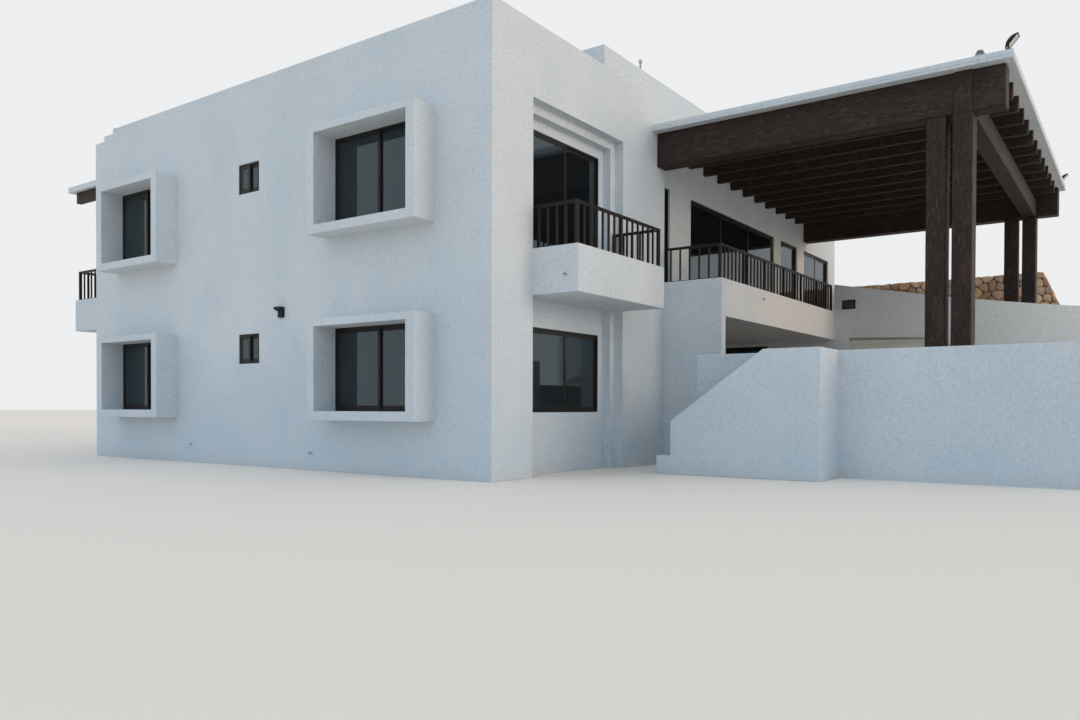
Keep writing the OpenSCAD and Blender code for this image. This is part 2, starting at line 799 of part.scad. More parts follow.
// The garden wall, notched at the stair's landing
module garden_wall() {
    color(white) difference() {
        span_box([garden_x, -grounds_end, 0], [garden_in_x, -garden_start, garden_z]);
        span_box([garden_x - cut, stair_wall_t - stair_end_y, landing_z],
            [garden_in_x + cut, -landing_y, garden_z + cut]);
    }
}

// The stair's parapet: a sloped part, a level part and a return to the garden wall
module stair_parapet() {
    rise_end_y = landing_y;
    low_y = stair_start + step_going;
    slope_rise = (rise_end_y - low_y) * step_rise / step_going;
    color(white) {
        translate([stair_x, 0, 0]) mirror([0, 1, 0]) rotate([90, 0, 90]) linear_extrude(stair_wall_t)
            polygon([[low_y, 0], [stair_end_y, 0], [stair_end_y, garden_z], [rise_end_y, garden_z],
                [low_y, garden_z - slope_rise]]);
        span_box([stair_x, -stair_end_y, 0], [garden_x, stair_wall_t - stair_end_y, garden_z]);
    }
}

// The steps and landing. The first step runs out past the parapet.
module garden_stair() {
    color(white) {
        span_box([stair_x, -stair_start - step_going, 0], [garden_x, -stair_start, sand_z + step_rise]);
        for (i = [1:step_count - 1])
            span_box([stair_in_x, stair_wall_t - stair_end_y, 0],
                [garden_x, -stair_start - i * step_going, sand_z + (i + 1) * step_rise]);
    }
}

// The raised terrace behind the garden wall, cut round the near columns
module raised_terrace() {
    color(white) difference() {
        span_box([garden_in_x, -grounds_end, landing_z - raised_slab_t],
            [base_tip_x - tip_cut, -landing_y, landing_z]);
        sweep_block(base_back, landing_z + cut);
        column_pair(beam_x[0]);
    }
}

module rear_balcony() {
    color(white) difference() {
        span_box([rear_balcony_x, house_length, band_bottom_z],
            [rear_balcony_x + rear_balcony_l, house_length + rear_balcony_depth, band_top_z]);
        span_box([rear_balcony_x + upstand_t, house_length - cut, upper_floor_z],
            [rear_balcony_x + rear_balcony_l - upstand_t,
                house_length + rear_balcony_depth - upstand_t, band_top_z + cut]);
    }
}

module rear_balcony_railing() {
    color(bronze) translate([rear_balcony_x, house_length, band_top_z]) mirror([0, 1, 0])
        railing_round(rear_balcony_l, rear_balcony_depth, rear_bays, return_bars[2]);
}

module rear_canopy() {
    color(white) span_box([canopy_x, house_length, canopy_z],
        [canopy_x + canopy_l, house_length + canopy_reach, canopy_z + pergola_t]);
}

module rear_canopy_joists() {
    pitch = (canopy_l - 2 * canopy_edge - joist_w) / (canopy_joists - 1);
    color(dark_wood) for (i = [0:canopy_joists - 1])
        translate([canopy_x + canopy_edge + i * pitch, house_length, canopy_z - joist_h])
            cube([joist_w, canopy_reach - canopy_short, joist_h]);
}

// Frames or glass of the left wall
module left_windows(part) {
    turn_x = frame_inset + frame_d;
    for (i = [0:1], k = [0:1])
        translate([turn_x, box_y[i], box_sill_z[k]]) rotate([0, 0, 90])
            window(part, box_window_w[i], box_head_z[k] - box_sill_z[k], 2);
    for (z = small_sill_z)
        translate([turn_x, small_y, z]) rotate([0, 0, 90]) window(part, small_w, small_h, 2);
}

// Frames or glass of the recess: a window below and a sliding door above
module recess_windows(part) {
    translate([front_open_x, front_open_y + frame_inset, front_sill_z])
        window(part, front_open_w, front_head_z - front_sill_z, 2);
    translate([front_open_x, front_open_y + frame_inset, upper_floor_z])
        window(part, front_open_w, recess_head_z - upper_floor_z, 2);
}

// Frames or glass of the wing's front and of its porch
module wing_windows(part) {
    set_back = frame_inset + frame_d / 2;
    lower_h = lower_head_z - ground_floor_z;
    for (i = [0:len(upper_at) - 1])
        translate([main_width + upper_at[i], wing_front_y + set_back, upper_floor_z])
            window(part, upper_w[i], upper_head_z - upper_floor_z, upper_panels[i]);
    for (i = [0:len(porch_at) - 1])
        translate([main_width + porch_at[i], porch_back_y + set_back, ground_floor_z])
            window(part, porch_w[i], lower_h, 2);
    translate([swept_x + deck_door[0], wing_front_y + set_back, ground_floor_z])
        window(part, deck_door[1], lower_h, 2);
    translate([swept_x + set_back + frame_d, wing_front_y + side_door[0], ground_floor_z]) rotate([0, 0, 90])
        window(part, side_door[1], side_head_z - ground_floor_z, 1);
}

// Frames or glass of the rear wall
module rear_windows(part) {
    y = house_length - frame_inset - frame_d;
    for (i = [0:len(rear_at) - 1]) {
        translate([rear_at[i], y, box_sill_z[0]])
            window(part, rear_w[i], box_head_z[0] - box_sill_z[0], 2);
        translate([rear_at[i], y, rear_sill_z(i)])
            window(part, rear_w[i], box_head_z[1] - rear_sill_z(i), 2);
    }
}

// Frames or glass of the right wall
module right_windows(part) {
    for (i = [0:1], k = [0:1])
        translate([house_end_x - frame_inset, wing_front_y + right_at[i], box_sill_z[k]]) rotate([0, 0, 90])
            window(part, right_w[i], box_head_z[k] - box_sill_z[k], 2);
}

module left_window_frames() {
    color(bronze) left_windows("frame");
}
module left_window_glass() {
    color(tint) left_windows("glass");
}
module front_window_frames() {
    color(bronze) recess_windows("frame");
}
module front_window_glass() {
    color(tint) recess_windows("glass");
}
module wing_window_frames() {
    color(bronze) wing_windows("frame");
}
module wing_window_glass() {
    color(tint) wing_windows("glass");
}
module rear_window_frames() {
    color(bronze) rear_windows("frame");
}
module rear_window_glass() {
    color(tint) rear_windows("glass");
}
module right_window_frames() {
    color(bronze) right_windows("frame");
}
module right_window_glass() {
    color(tint) right_windows("glass");
}

// The lamp on the left wall: a flat hood that stands out over a narrow body
module wall_lamp() {
    color(bronze) translate([0, lamp_at[0], lamp_at[1]])
        rotate([90, 0, 0]) mirror([0, 0, 1]) linear_extrude(lamp_size[0])
            polygon([[0, 0], [0, lamp_size[1]], [-lamp_reach[1], lamp_size[1]],
                [-lamp_reach[1], lamp_size[1] - hood_t[0]], [-lamp_reach[0], lamp_size[1] - hood_t[1]],
                [-lamp_reach[0], 0]]);
}

// A floodlight on its foot at the origin. Its head leans out, with a flat face below and a curved back.
module floodlight() {
    back_r = (pow(flood_size[2] / 2, 2) + pow(flood_size[1], 2)) / (2 * flood_size[1]);
    translate([-flood_foot[0] / 2, -flood_foot[0] / 2, 0])
        cube([flood_foot[0], flood_foot[0], flood_foot[1] + flood_lap]);
    translate([-flood_size[0] / 2, flood_foot[0] / 2, flood_foot[1]]) rotate([flood_lean, 0, 0])
        rotate([90, 0, 90]) linear_extrude(flood_size[0]) intersection() {
            square([flood_size[1], flood_size[2]]);
            translate([flood_size[1] - back_r, flood_size[2] / 2]) circle(r = back_r, $fn = round_fn);
        }
}

module floodlights() {
    color(bronze) for (x = [pergola_x + flood_at[0], pergola_end_x - flood_at[0]])
        translate([x, flood_at[1] - pergola_reach, pergola_top_z]) floodlight();
}

// The louvre: a rim with a grid of small cells, X out from the wall and Y along it
module louvre() {
    cell_w = (louvre_size[0] - 2 * louvre_t[0] + louvre_t[1]) / louvre_cells[0];
    cell_h = (louvre_size[1] - 2 * louvre_t[0] + louvre_t[1]) / louvre_cells[1];
    difference() {
        cube([louvre_t[2], louvre_size[0], louvre_size[1]]);
        for (i = [0:louvre_cells[0] - 1], k = [0:louvre_cells[1] - 1])
            translate([louvre_t[1], louvre_t[0] + i * cell_w, louvre_t[0] + k * cell_h])
                cube([louvre_t[2], cell_w - louvre_t[1], cell_h - louvre_t[1]]);
    }
}

// A short open pipe along +Z, from the origin
module spout() {
    difference() {
        cylinder(r = spout_size[0], h = spout_size[1], $fn = round_fn);
        translate([0, 0, spout_size[1] / 2])
            cylinder(r = spout_size[0] * spout_bore, h = spout_size[1], $fn = round_fn);
    }
}

// The vent pipe on the roof, the vent hood on the slab, the louvre and the drain spouts
module vents_and_spouts() {
    color("gray") {
        translate([main_width + vent_at[0], vent_at[1], roof_z]) {
            cylinder(r = vent_r[0], h = vent_z - roof_z, $fn = round_fn);
            translate([0, 0, vent_z - roof_z - vent_cap_h])
                cylinder(r = vent_r[1], h = vent_cap_h, $fn = round_fn);
        }
        translate([pergola_x, -hood_at, pergola_top_z]) rotate([90, 0, 90]) linear_extrude(hood_size[1])
            polygon([[-hood_size[0] / 2, 0], [hood_size[0] / 2, 0],
                [hood_top_w / 2, hood_size[2]], [-hood_top_w / 2, hood_size[2]]]);
        translate(sweep_centre) rotate([0, 0, 180 + asin(louvre_at[0] / sweep_r)])
            translate([sweep_r, -louvre_size[0] / 2, louvre_at[1]]) louvre();
        translate([recess_x, -balcony_spout[0], balcony_spout[1]]) rotate([0, -90, 0]) spout();
        translate([main_width + terrace_spout[0], -terrace_depth, terrace_spout[1]])
            rotate([90, 0, 0]) spout();
        for (place = foot_spouts) translate([0, place[0], place[1]]) rotate([0, -90, 0]) spout();
    }
}

left_wall();
front_wall();
lower_wing_wall();
upper_wing_wall();
rear_wall();
right_wall();
raised_parapet();
ground_floor();
upper_floor();
roof_slab();
window_boxes();
front_balcony();
front_balcony_railing();
terrace_slab();
terrace_railing();
terrace_end_wall();
swept_wall();
swept_base_wall();
upper_deck();
rubble_wall();
retaining_walls();
pergola_columns();
pergola_beams();
pergola_girder();
pergola_joists();
pergola_slab();
garden_wall();
stair_parapet();
garden_stair();
raised_terrace();
rear_balcony();
rear_balcony_railing();
rear_canopy();
rear_canopy_joists();
left_window_frames();
left_window_glass();
front_window_frames();
front_window_glass();
wing_window_frames();
wing_window_glass();
rear_window_frames();
rear_window_glass();
right_window_frames();
right_window_glass();
wall_lamp();
floodlights();
vents_and_spouts();
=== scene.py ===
import bpy
import bmesh
import math
import random
from mathutils import Matrix, Vector
from mathutils.bvhtree import BVHTree


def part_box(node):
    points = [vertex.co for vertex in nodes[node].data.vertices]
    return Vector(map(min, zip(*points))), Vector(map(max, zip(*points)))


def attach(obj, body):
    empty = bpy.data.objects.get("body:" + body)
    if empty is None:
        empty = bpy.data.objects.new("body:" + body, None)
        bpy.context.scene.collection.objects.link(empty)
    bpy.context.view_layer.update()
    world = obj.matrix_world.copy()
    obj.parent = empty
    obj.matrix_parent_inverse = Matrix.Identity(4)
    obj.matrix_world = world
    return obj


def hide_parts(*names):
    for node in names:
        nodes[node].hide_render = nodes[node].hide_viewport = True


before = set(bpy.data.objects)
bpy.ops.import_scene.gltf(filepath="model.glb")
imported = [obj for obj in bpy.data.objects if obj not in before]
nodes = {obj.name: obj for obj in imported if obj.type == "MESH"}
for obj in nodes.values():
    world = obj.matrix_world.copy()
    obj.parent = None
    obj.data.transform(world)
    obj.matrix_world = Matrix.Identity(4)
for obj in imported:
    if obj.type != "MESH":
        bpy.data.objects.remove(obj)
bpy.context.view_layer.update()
print("frame: %d nodes" % len(nodes))


def addObject(name, data):
    made = bpy.data.objects.new(name, data)
    bpy.context.scene.collection.objects.link(made)
    return made


# Camera: it stands where the photo was taken, a little over a metre above the house's foot
cameraView = {
    "place": (-9.857, -7.916, 1.12),
    "yaw": 35.52,           # degrees from +X towards +Y
    "pitch": -0.698,
    "roll": 0.167,
    "lens": 28.49,
    "sensor": 36.0,
    "shiftY": 0.0531,
    "reach": 500,           # metres
}


def aimCamera():
    yaw, pitch, roll = (math.radians(cameraView[k]) for k in ("yaw", "pitch", "roll"))
    ahead = Vector((math.cos(pitch) * math.cos(yaw), math.cos(pitch) * math.sin(yaw), math.sin(pitch)))
    level = Vector((math.sin(yaw), -math.cos(yaw), 0))
    down = ahead.cross(level)
    right = math.cos(roll) * level - math.sin(roll) * down
    below = math.sin(roll) * level + math.cos(roll) * down
    data = bpy.data.cameras.new("photoCamera")
    data.lens = cameraView["lens"]
    data.sensor_width = cameraView["sensor"]
    data.shift_y = cameraView["shiftY"]
    data.clip_end = cameraView["reach"]
    camera = addObject("photoCamera", data)
    turn = Matrix((right, -below, -ahead)).transposed().to_4x4()
    camera.matrix_world = Matrix.Translation(cameraView["place"]) @ turn
    bpy.context.scene.camera = camera


aimCamera()
print("camera: set at the photo's viewpoint")


# Shader helpers
def addNode(tree, kind, settings=None, **inputs):
    # settings are the node's own properties; inputs are values or sockets by name, or by place as i0, i1
    node = tree.nodes.new("ShaderNode" + kind)
    for key, value in (settings or {}).items():
        setattr(node, key, value)
    for key, value in inputs.items():
        socket = node.inputs[int(key[1:])] if key[0] == "i" and key[1:].isdigit() else node.inputs[key]
        if isinstance(value, bpy.types.NodeSocket):
            tree.links.new(value, socket)
        else:
            socket.default_value = value
    return node


def rampOf(tree, value, low, high, lowOut=0.0, highOut=1.0):
    # value from low..high becomes lowOut..highOut, held at its ends
    return addNode(tree, "MapRange", i0=value, i1=low, i2=high, i3=lowOut, i4=highOut).outputs[0]


def mathOf(tree, operation, first, second):
    return addNode(tree, "Math", {"operation": operation}, i0=first, i1=second).outputs[0]


def blendColour(tree, share, first, second, how="MIX"):
    mix = addNode(tree, "Mix", {"data_type": "RGBA", "blend_type": how}, i0=share, i6=first, i7=second)
    return mix.outputs[2]


def axisOf(tree, space, axis):
    return addNode(tree, "SeparateXYZ", Vector=addNode(tree, "TexCoord").outputs[space]).outputs[axis]


def newFinish(name):
    material = bpy.data.materials.new(name)
    material.use_nodes = True
    return material.node_tree, material.node_tree.nodes["Principled BSDF"]


def setSockets(shader, values):
    for socket, value in values.items():
        shader.inputs[socket].default_value = value


# Studio: pale floor, pale background and one broad soft key, low in front so that it reaches under the roof
studio = {
    "skyStrength": 0.86,
    "skyCool": (0.81, 0.96, 1.12, 1),     # the left of the studio
    "skyWarm": (0.98, 0.91, 0.85, 1),     # its right
    "skyBlend": 0.7,                      # how far out to each side the one becomes the other
    "backStrength": 1.0,
    "backColour": (0.85, 0.86, 0.87, 1),
    "floor": {"Base Color": (0.85, 0.80, 0.74, 1), "Roughness": 0.9, "Specular IOR Level": 0.1},
    "floorRadius": 240,
    "floorSides": 96,
    "keyStrength": 0.78,
    "keyAngle": 24,
    "keyFrom": (0.24, -0.94, 0.17),
    "keyColour": (1.0, 0.80, 0.62),
}


def buildWorld():
    world = bpy.data.worlds.new("studioWorld")
    bpy.context.scene.world = world
    world.use_nodes = True
    tree = world.node_tree
    tree.nodes.clear()
    share = rampOf(tree, axisOf(tree, "Generated", 0), -studio["skyBlend"], studio["skyBlend"])
    sky = blendColour(tree, share, studio["skyCool"], studio["skyWarm"])
    light = addNode(tree, "Background", Color=sky, Strength=studio["skyStrength"])
    back = addNode(tree, "Background", Color=studio["backColour"], Strength=studio["backStrength"])
    rays = addNode(tree, "LightPath").outputs
    seen = mathOf(tree, "MAXIMUM", rays["Is Camera Ray"], rays["Is Glossy Ray"])
    seen = mathOf(tree, "MAXIMUM", seen, rays["Is Transmission Ray"])
    mix = addNode(tree, "MixShader", i0=seen, i1=light.outputs[0], i2=back.outputs[0])
    addNode(tree, "OutputWorld", Surface=mix.outputs[0])


def buildKey():
    key = bpy.data.lights.new("key", "SUN")
    key.energy = studio["keyStrength"]
    key.angle = math.radians(studio["keyAngle"])
    key.color = studio["keyColour"]
    addObject("key", key).rotation_euler = Vector(studio["keyFrom"]).to_track_quat("Z", "Y").to_euler()


def buildFloor():
    mesh = bpy.data.meshes.new("floor")
    radius, sides = studio["floorRadius"], studio["floorSides"]
    turns = [2 * math.pi * k / sides for k in range(sides)]
    rim = [(radius * math.cos(a), radius * math.sin(a), 0) for a in turns]
    mesh.from_pydata(rim, [], [tuple(range(sides))])
    tree, shader = newFinish("paleFloor")
    setSockets(shader, studio["floor"])
    mesh.materials.append(bpy.data.materials["paleFloor"])
    addObject("floor", mesh)


buildWorld()
buildKey()
buildFloor()
bpy.context.scene.view_settings.view_transform = "Standard"
print("studio: floor, sky and key light")


# Finishes. Coordinates are metres in the row frame, so grain keeps its real size on every piece.
# A look's noises are (scale per metre, detail, roughness, stretch). Its layers are (noise, where it starts,
# where it is full, how far it takes over, its tone). Its gloss is a noise, its range and the roughness at
# both ends. Its relief is how many metres each noise lifts the face.
def addNoises(tree, look):
    noises = {}
    for key, (scale, detail, rough, *stretch) in look["noises"].items():
        places = addNode(tree, "TexCoord").outputs["Object"]
        if stretch:
            places = addNode(tree, "Mapping", Vector=places, Scale=stretch[0]).outputs[0]
        noise = addNode(tree, "TexNoise", Vector=places, Scale=scale, Detail=detail, Roughness=rough)
        noises[key] = noise.outputs[0]
    return noises


def addLayers(tree, noises, tone, look, layers="layers"):
    for noise, low, high, most, colour, *how in look[layers]:
        tone = blendColour(tree, rampOf(tree, noises[noise], low, high, 0.0, most), tone, look[colour], *how)
    return tone


def closeFinish(tree, shader, noises, tone, look):
    tree.links.new(tone, shader.inputs["Base Color"])
    noise, *span = look["gloss"]
    tree.links.new(rampOf(tree, noises[noise], *span), shader.inputs["Roughness"])
    height = None
    for noise, metres in look["relief"].items():
        part = mathOf(tree, "MULTIPLY", noises[noise], metres)
        height = part if height is None else mathOf(tree, "ADD", height, part)
    bump = addNode(tree, "Bump", Height=height, Strength=1.0, Distance=1.0)
    tree.links.new(bump.outputs[0], shader.inputs["Normal"])
    setSockets(shader, look.get("sockets", {}))


def layeredFinish(name, look):
    # the base is a colour, or the name of the mesh attribute that holds it
    tree, shader = newFinish(name)
    noises = addNoises(tree, look)
    tone = look["base"]
    if isinstance(tone, str):
        tone = addNode(tree, "Attribute", {"attribute_name": tone}).outputs["Color"]
    closeFinish(tree, shader, noises, addLayers(tree, noises, tone, look), look)


def insideBox(tree, low, high, fade):
    # 1 well inside a box, 0 outside it, with a soft edge of fade metres on each axis
    share = None
    for k in range(3):
        spot = axisOf(tree, "Object", k)
        rise = rampOf(tree, spot, low[k], low[k] + fade[k])
        fall = rampOf(tree, spot, high[k] - fade[k], high[k], 1.0, 0.0)
        both = mathOf(tree, "MULTIPLY", rise, fall)
        share = both if share is None else mathOf(tree, "MULTIPLY", share, both)
    return share


stuccoLook = {
    "blush": (0.775, 0.745, 0.725, 1),   # the warmer patches of a batch
    "dust": (0.55, 0.52, 0.48, 1),
    "streak": (0.56, 0.56, 0.55, 1),
    "dab": (0.89, 0.915, 0.93, 1),       # darkens what lies under it, as do the pits
    "pit": (0.61, 0.625, 0.635, 1),
    "noises": {
        "broad": (0.55, 5.0, 0.6),
        "patches": (3.2, 6.0, 0.65),
        "batch": (1.15, 5.0, 0.62, (1, 1, 0.6)),
        "strokes": (9.0, 5.0, 0.6, (1, 1, 0.45)),
        "dabs": (22.0, 3.0, 0.6),
        "pebbles": (50.0, 3.0, 0.65),
        "sand": (120.0, 3.0, 0.75),
        "runs": (1.0, 6.0, 0.7, (7.0, 7.0, 0.28)),     # tall and narrow, for the rain streaks
    },
    "layers": [("broad", 0.36, 0.66, 1.0, "body"), ("patches", 0.35, 0.70, 0.40, "cloud"),
               ("batch", 0.48, 0.66, 0.45, "blush")],
    # fine mottling of the thrown coat
    "coat": [("dabs", 0.40, 0.60, 0.70, "dab", "MULTIPLY"), ("dabs", 0.52, 0.66, 0.12, "pit", "MULTIPLY"),
             ("pebbles", 0.49, 0.64, 0.24, "pit", "MULTIPLY"), ("sand", 0.55, 0.75, 0.35, "streak")],
    "gloss": ("sand", 0.3, 0.7, 0.82, 0.95),
    "relief": {"broad": 0.0045, "strokes": 0.0012, "dabs": 0.0105, "pebbles": 0.0070, "sand": 0.0018},
    "sockets": {"Specular IOR Level": 0.25},
    # the foot's darker, bluer tone is painted shade towards the ground, and the splashed sand is dust: how
    # high each fades out, its most, and its ragged edge
    "footTop": 3.2,
    "footShare": 0.75,
    "footEdge": ("broad", 0.3, 0.7, -0.8, 0.8),
    "footInGlow": 0.2,    # what the painted warm light leaves of the foot's painted shade
    "splashTop": 0.20,
    "splashShare": 0.28,
    "splashEdge": ("patches", 0.3, 0.7, -0.16, 0.08),
    "wet": ("runs", 0.56, 0.78, 0.0, 0.20),            # rain streaks, where a patch lets them through
    "wetPatch": ("patches", 0.42, 0.62),
    "paintedGlowShare": 0.85,    # how far the shell takes over round the pergola: painted warm light, a warmer and lighter tone
    "paintedGlowLow": (5.6, -8.0, 0.6),
    "paintedGlowHigh": (17.4, 2.6, 5.75),
    "paintedGlowFade": (2.6, 1.2, 0.5),
}
# in each tone, foot is painted shade: a darker, bluer tone that fades up from the ground
stuccoTones = {
    # shell is painted warm light: a warmer, lighter tone round the pergola
    "whiteStucco": {"body": (0.745, 0.772, 0.786, 1), "cloud": (0.665, 0.708, 0.730, 1),
                    "foot": (0.545, 0.635, 0.705, 1), "shell": (0.885, 0.85, 0.805, 1)},
    "creamStucco": {"body": (0.87, 0.82, 0.73, 1), "cloud": (0.80, 0.745, 0.65, 1),
                    "foot": (0.80, 0.745, 0.65, 1), "shell": (0.93, 0.86, 0.74, 1)},
}


def stucco(name):
    look = {**stuccoLook, **stuccoTones[name]}
    tree, shader = newFinish(name)
    noises = addNoises(tree, look)

    def ramped(key):
        noise, *span = look[key]
        return rampOf(tree, noises[noise], *span)

    def fromFloor(part):
        ragged = mathOf(tree, "ADD", axisOf(tree, "Object", 2), ramped(part + "Edge"))
        return rampOf(tree, ragged, 0.0, look[part + "Top"], look[part + "Share"], 0.0)

    tone = addLayers(tree, noises, look["cloud"], look)
    # painted warm light: a warmer, lighter tone inside a box round the pergola, which also thins the painted
    # shade at the foot
    paintedGlow = insideBox(tree, look["paintedGlowLow"], look["paintedGlowHigh"], look["paintedGlowFade"])
    outsideGlow = rampOf(tree, paintedGlow, 0.0, 1.0, 1.0, look["footInGlow"])
    # painted shade: darker and bluer towards the foot
    tone = blendColour(tree, mathOf(tree, "MULTIPLY", fromFloor("foot"), outsideGlow), tone, look["foot"])
    paintedGlow = mathOf(tree, "MULTIPLY", paintedGlow, look["paintedGlowShare"])
    tone = blendColour(tree, paintedGlow, tone, look["shell"])
    tone = addLayers(tree, noises, tone, look, "coat")
    streaks = mathOf(tree, "MULTIPLY", ramped("wet"), ramped("wetPatch"))
    tone = blendColour(tree, streaks, tone, look["streak"])
    tone = blendColour(tree, fromFloor("splash"), tone, look["dust"])
    closeFinish(tree, shader, noises, tone, look)


screedLook = {
    "base": (0.63, 0.595, 0.54, 1),
    "light": (0.74, 0.705, 0.645, 1),
    "stain": (0.46, 0.43, 0.385, 1),
    "noises": {"broad": (0.8, 6.0, 0.65), "ponds": (0.33, 3.0, 0.55), "fine": (22.0, 5.0, 0.7)},
    "layers": [("broad", 0.35, 0.65, 1.0, "light"), ("ponds", 0.56, 0.66, 0.35, "stain"),
               ("fine", 0.45, 0.75, 0.3, "base")],
    "gloss": ("fine", 0.3, 0.7, 0.7, 0.92),
    "relief": {"broad": 0.004, "fine": 0.0015},
}
timberLook = {
    "base": (0.015, 0.009, 0.0065, 1),
    "stain": (0.032, 0.0208, 0.0148, 1),
    "worn": (0.098, 0.050, 0.030, 1),
    "dust": (0.135, 0.084, 0.056, 1),
    # the last two are the stretch along and across the grain
    "noises": {"fibres": (5.0, 8.0, 0.68, 0.55, 9.0), "bands": (0.9, 3.0, 0.5, 0.55, 9.0),
               "blotches": (2.4, 6.0, 0.62, 1.0, 1.0), "dents": (24.0, 4.0, 0.7, 0.16, 1.0),
               "specks": (44.0, 4.0, 0.72, 0.16, 1.0)},
    "layers": [("fibres", 0.28, 0.66, 1.0, "stain"), ("bands", 0.5, 0.72, 0.35, "base"),
               ("blotches", 0.52, 0.76, 0.55, "worn"), ("dents", 0.50, 0.62, 0.8, "base"),
               ("specks", 0.52, 0.70, 0.5, "dust")],
    "gloss": ("fibres", 0.3, 0.7, 0.5, 0.78),
    "relief": {"fibres": 0.0040, "bands": 0.004, "dents": 0.0070, "specks": 0.0022},
    "sockets": {"Specular IOR Level": 0.28},
}


def timber(name, along):
    # along: 0, 1 or 2 for grain that runs along X, Y or Z
    look = {**timberLook, "noises": {}}
    for key, (*noise, length, across) in timberLook["noises"].items():
        look["noises"][key] = (*noise, [length if k == along else across for k in range(3)])
    layeredFinish(name, look)


glassLook = {
    "base": (0.008, 0.010, 0.012, 1),
    "dust": (0.10, 0.10, 0.095, 1),
    "noises": {"film": (1.6, 5.0, 0.65), "specks": (45.0, 3.0, 0.6), "waves": (0.9, 1.0, 0.55)},
    "layers": [("specks", 0.55, 0.8, 0.12, "dust")],
    "gloss": ("film", 0.35, 0.7, 0.015, 0.06),
    "relief": {"waves": 0.0016},
    "sockets": {"IOR": 1.82, "Alpha": 0.84, "Specular Tint": (0.68, 0.91, 1.0, 1)},    # a coated pane
}
stoneLook = {
    "base": "stoneTone",     # each stone's own colour
    "shade": (0.13, 0.085, 0.06, 1),
    "dust": (0.74, 0.58, 0.42, 1),
    "noises": {"cloud": (9.0, 7.0, 0.7), "pits": (60.0, 5.0, 0.7)},
    "layers": [("cloud", 0.35, 0.7, 0.5, "shade"), ("pits", 0.54, 0.70, 0.5, "dust")],
    "gloss": ("pits", 0.3, 0.7, 0.75, 0.95),
    "relief": {"cloud": 0.012, "pits": 0.004},
}
# a dark brown mortar, darkened further as painted shade of the deep joints
mortarLook = {
    "base": (0.085, 0.062, 0.047, 1),
    "pale": (0.15, 0.115, 0.088, 1),
    "noises": {"cloud": (5.0, 6.0, 0.65), "sand": (110.0, 3.0, 0.7)},
    "layers": [("cloud", 0.35, 0.65, 1.0, "pale")],
    "gloss": ("sand", 0.3, 0.7, 0.85, 0.97),
    "relief": {"cloud": 0.006, "sand": 0.002},
}
coatLook = {
    "cloud": (3.5, 5.0, 0.6),
    "pits": (4.0, 0.6),      # detail and roughness; each coat has its own scale
    "pitted": (0.5, 0.72),
    "clouded": (0.4, 0.7),
    "gloss": ("cloud", 0.3, 0.7),
    "duller": (-0.08, 0.12),             # what the cloud adds to the roughness at its two ends
    "relief": {"pits": 0.0004, "cloud": 0.0004},
    "sockets": {"Specular IOR Level": 0.3},
}
coats = {
    # tone, worn tone and roughness, then the pits' scale and how far it is worn where those differ
    "railPaint": ((0.017, 0.011, 0.009, 1), (0.070, 0.030, 0.020, 1), 0.42),
    "bronzeAluminium": ((0.010, 0.008, 0.007, 1), (0.030, 0.024, 0.020, 1), 0.4),
    "blackRubber": ((0.010, 0.010, 0.010, 1), (0.030, 0.030, 0.030, 1), 0.7),
    "lampMetal": ((0.009, 0.009, 0.010, 1), (0.045, 0.045, 0.045, 1), 0.5),
    "greyPipe": ((0.50, 0.50, 0.49, 1), (0.32, 0.31, 0.30, 1), 0.6, 25.0, 0.7),
    "louvreGrey": ((0.16, 0.16, 0.165, 1), (0.09, 0.09, 0.09, 1), 0.7),
    # the next is painted shade: near-black inside the spouts' bores
    "paintedBoreShade": ((0.006, 0.006, 0.006, 1), (0.015, 0.014, 0.013, 1), 0.9),
    "lampGlass": ((0.55, 0.52, 0.44, 1), (0.38, 0.35, 0.28, 1), 0.16),
}


def smoothCoat(name, tone, worn, roughness, pitScale=60.0, wear=0.35):
    tree, shader = newFinish(name)
    look = {**coatLook, "noises": {"cloud": coatLook["cloud"], "pits": (pitScale, *coatLook["pits"])},
            "gloss": (*coatLook["gloss"], *(roughness + change for change in coatLook["duller"]))}
    noises = addNoises(tree, look)
    share = mathOf(tree, "MULTIPLY", rampOf(tree, noises["pits"], *look["pitted"]),
                   rampOf(tree, noises["cloud"], *look["clouded"], 0.0, wear))
    closeFinish(tree, shader, noises, blendColour(tree, share, tone, worn), look)


for name in stuccoTones:
    stucco(name)
for name, look in (("plainScreed", screedLook), ("paneGlass", glassLook),
                   ("rubbleStone", stoneLook), ("rubbleMortar", mortarLook)):
    layeredFinish(name, look)
for k in range(3):
    timber("darkTimber" + "XYZ"[k], k)
for name, values in coats.items():
    smoothCoat(name, *values)
print("finishes: %d materials" % len(bpy.data.materials))


# Mesh helpers
meshCare = {
    "weld": 0.0002,          # metres within which a node's points are one
    "flat": 0.05,            # degrees up to which two faces are one
    "chamferFrom": 40,       # degrees from which an edge of a modelled piece is softened
    "sortTo": 2,             # decimals of a metre by which a node's solids are put in order
}


def addPiece(name, bm, finishes, replaced=(), bevel=0.0, segments=2):
    # its first finish gives the slot, and bevel softens its edges
    bmesh.ops.recalc_face_normals(bm, faces=bm.faces)
    mesh = bpy.data.meshes.new(name)
    bm.to_mesh(mesh)
    bm.free()
    piece = addObject(name, mesh)
    for finish in finishes:
        mesh.materials.append(bpy.data.materials[finish])
    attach(piece, "root")
    if replaced:
        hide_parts(*replaced)
    if bevel:
        soften = piece.modifiers.new("softEdges", "BEVEL")
        soften.width = bevel
        soften.segments = segments
        soften.limit_method = "ANGLE"
        soften.angle_limit = math.radians(meshCare["chamferFrom"])


def addSolid(bm, corners, faces, place=Vector, finish=0):
    # place turns a corner in the piece's own axes into its place on the house
    verts = [bm.verts.new(place(c)) for c in corners]
    for face in faces:
        bm.faces.new([verts[k] for k in face]).material_index = finish


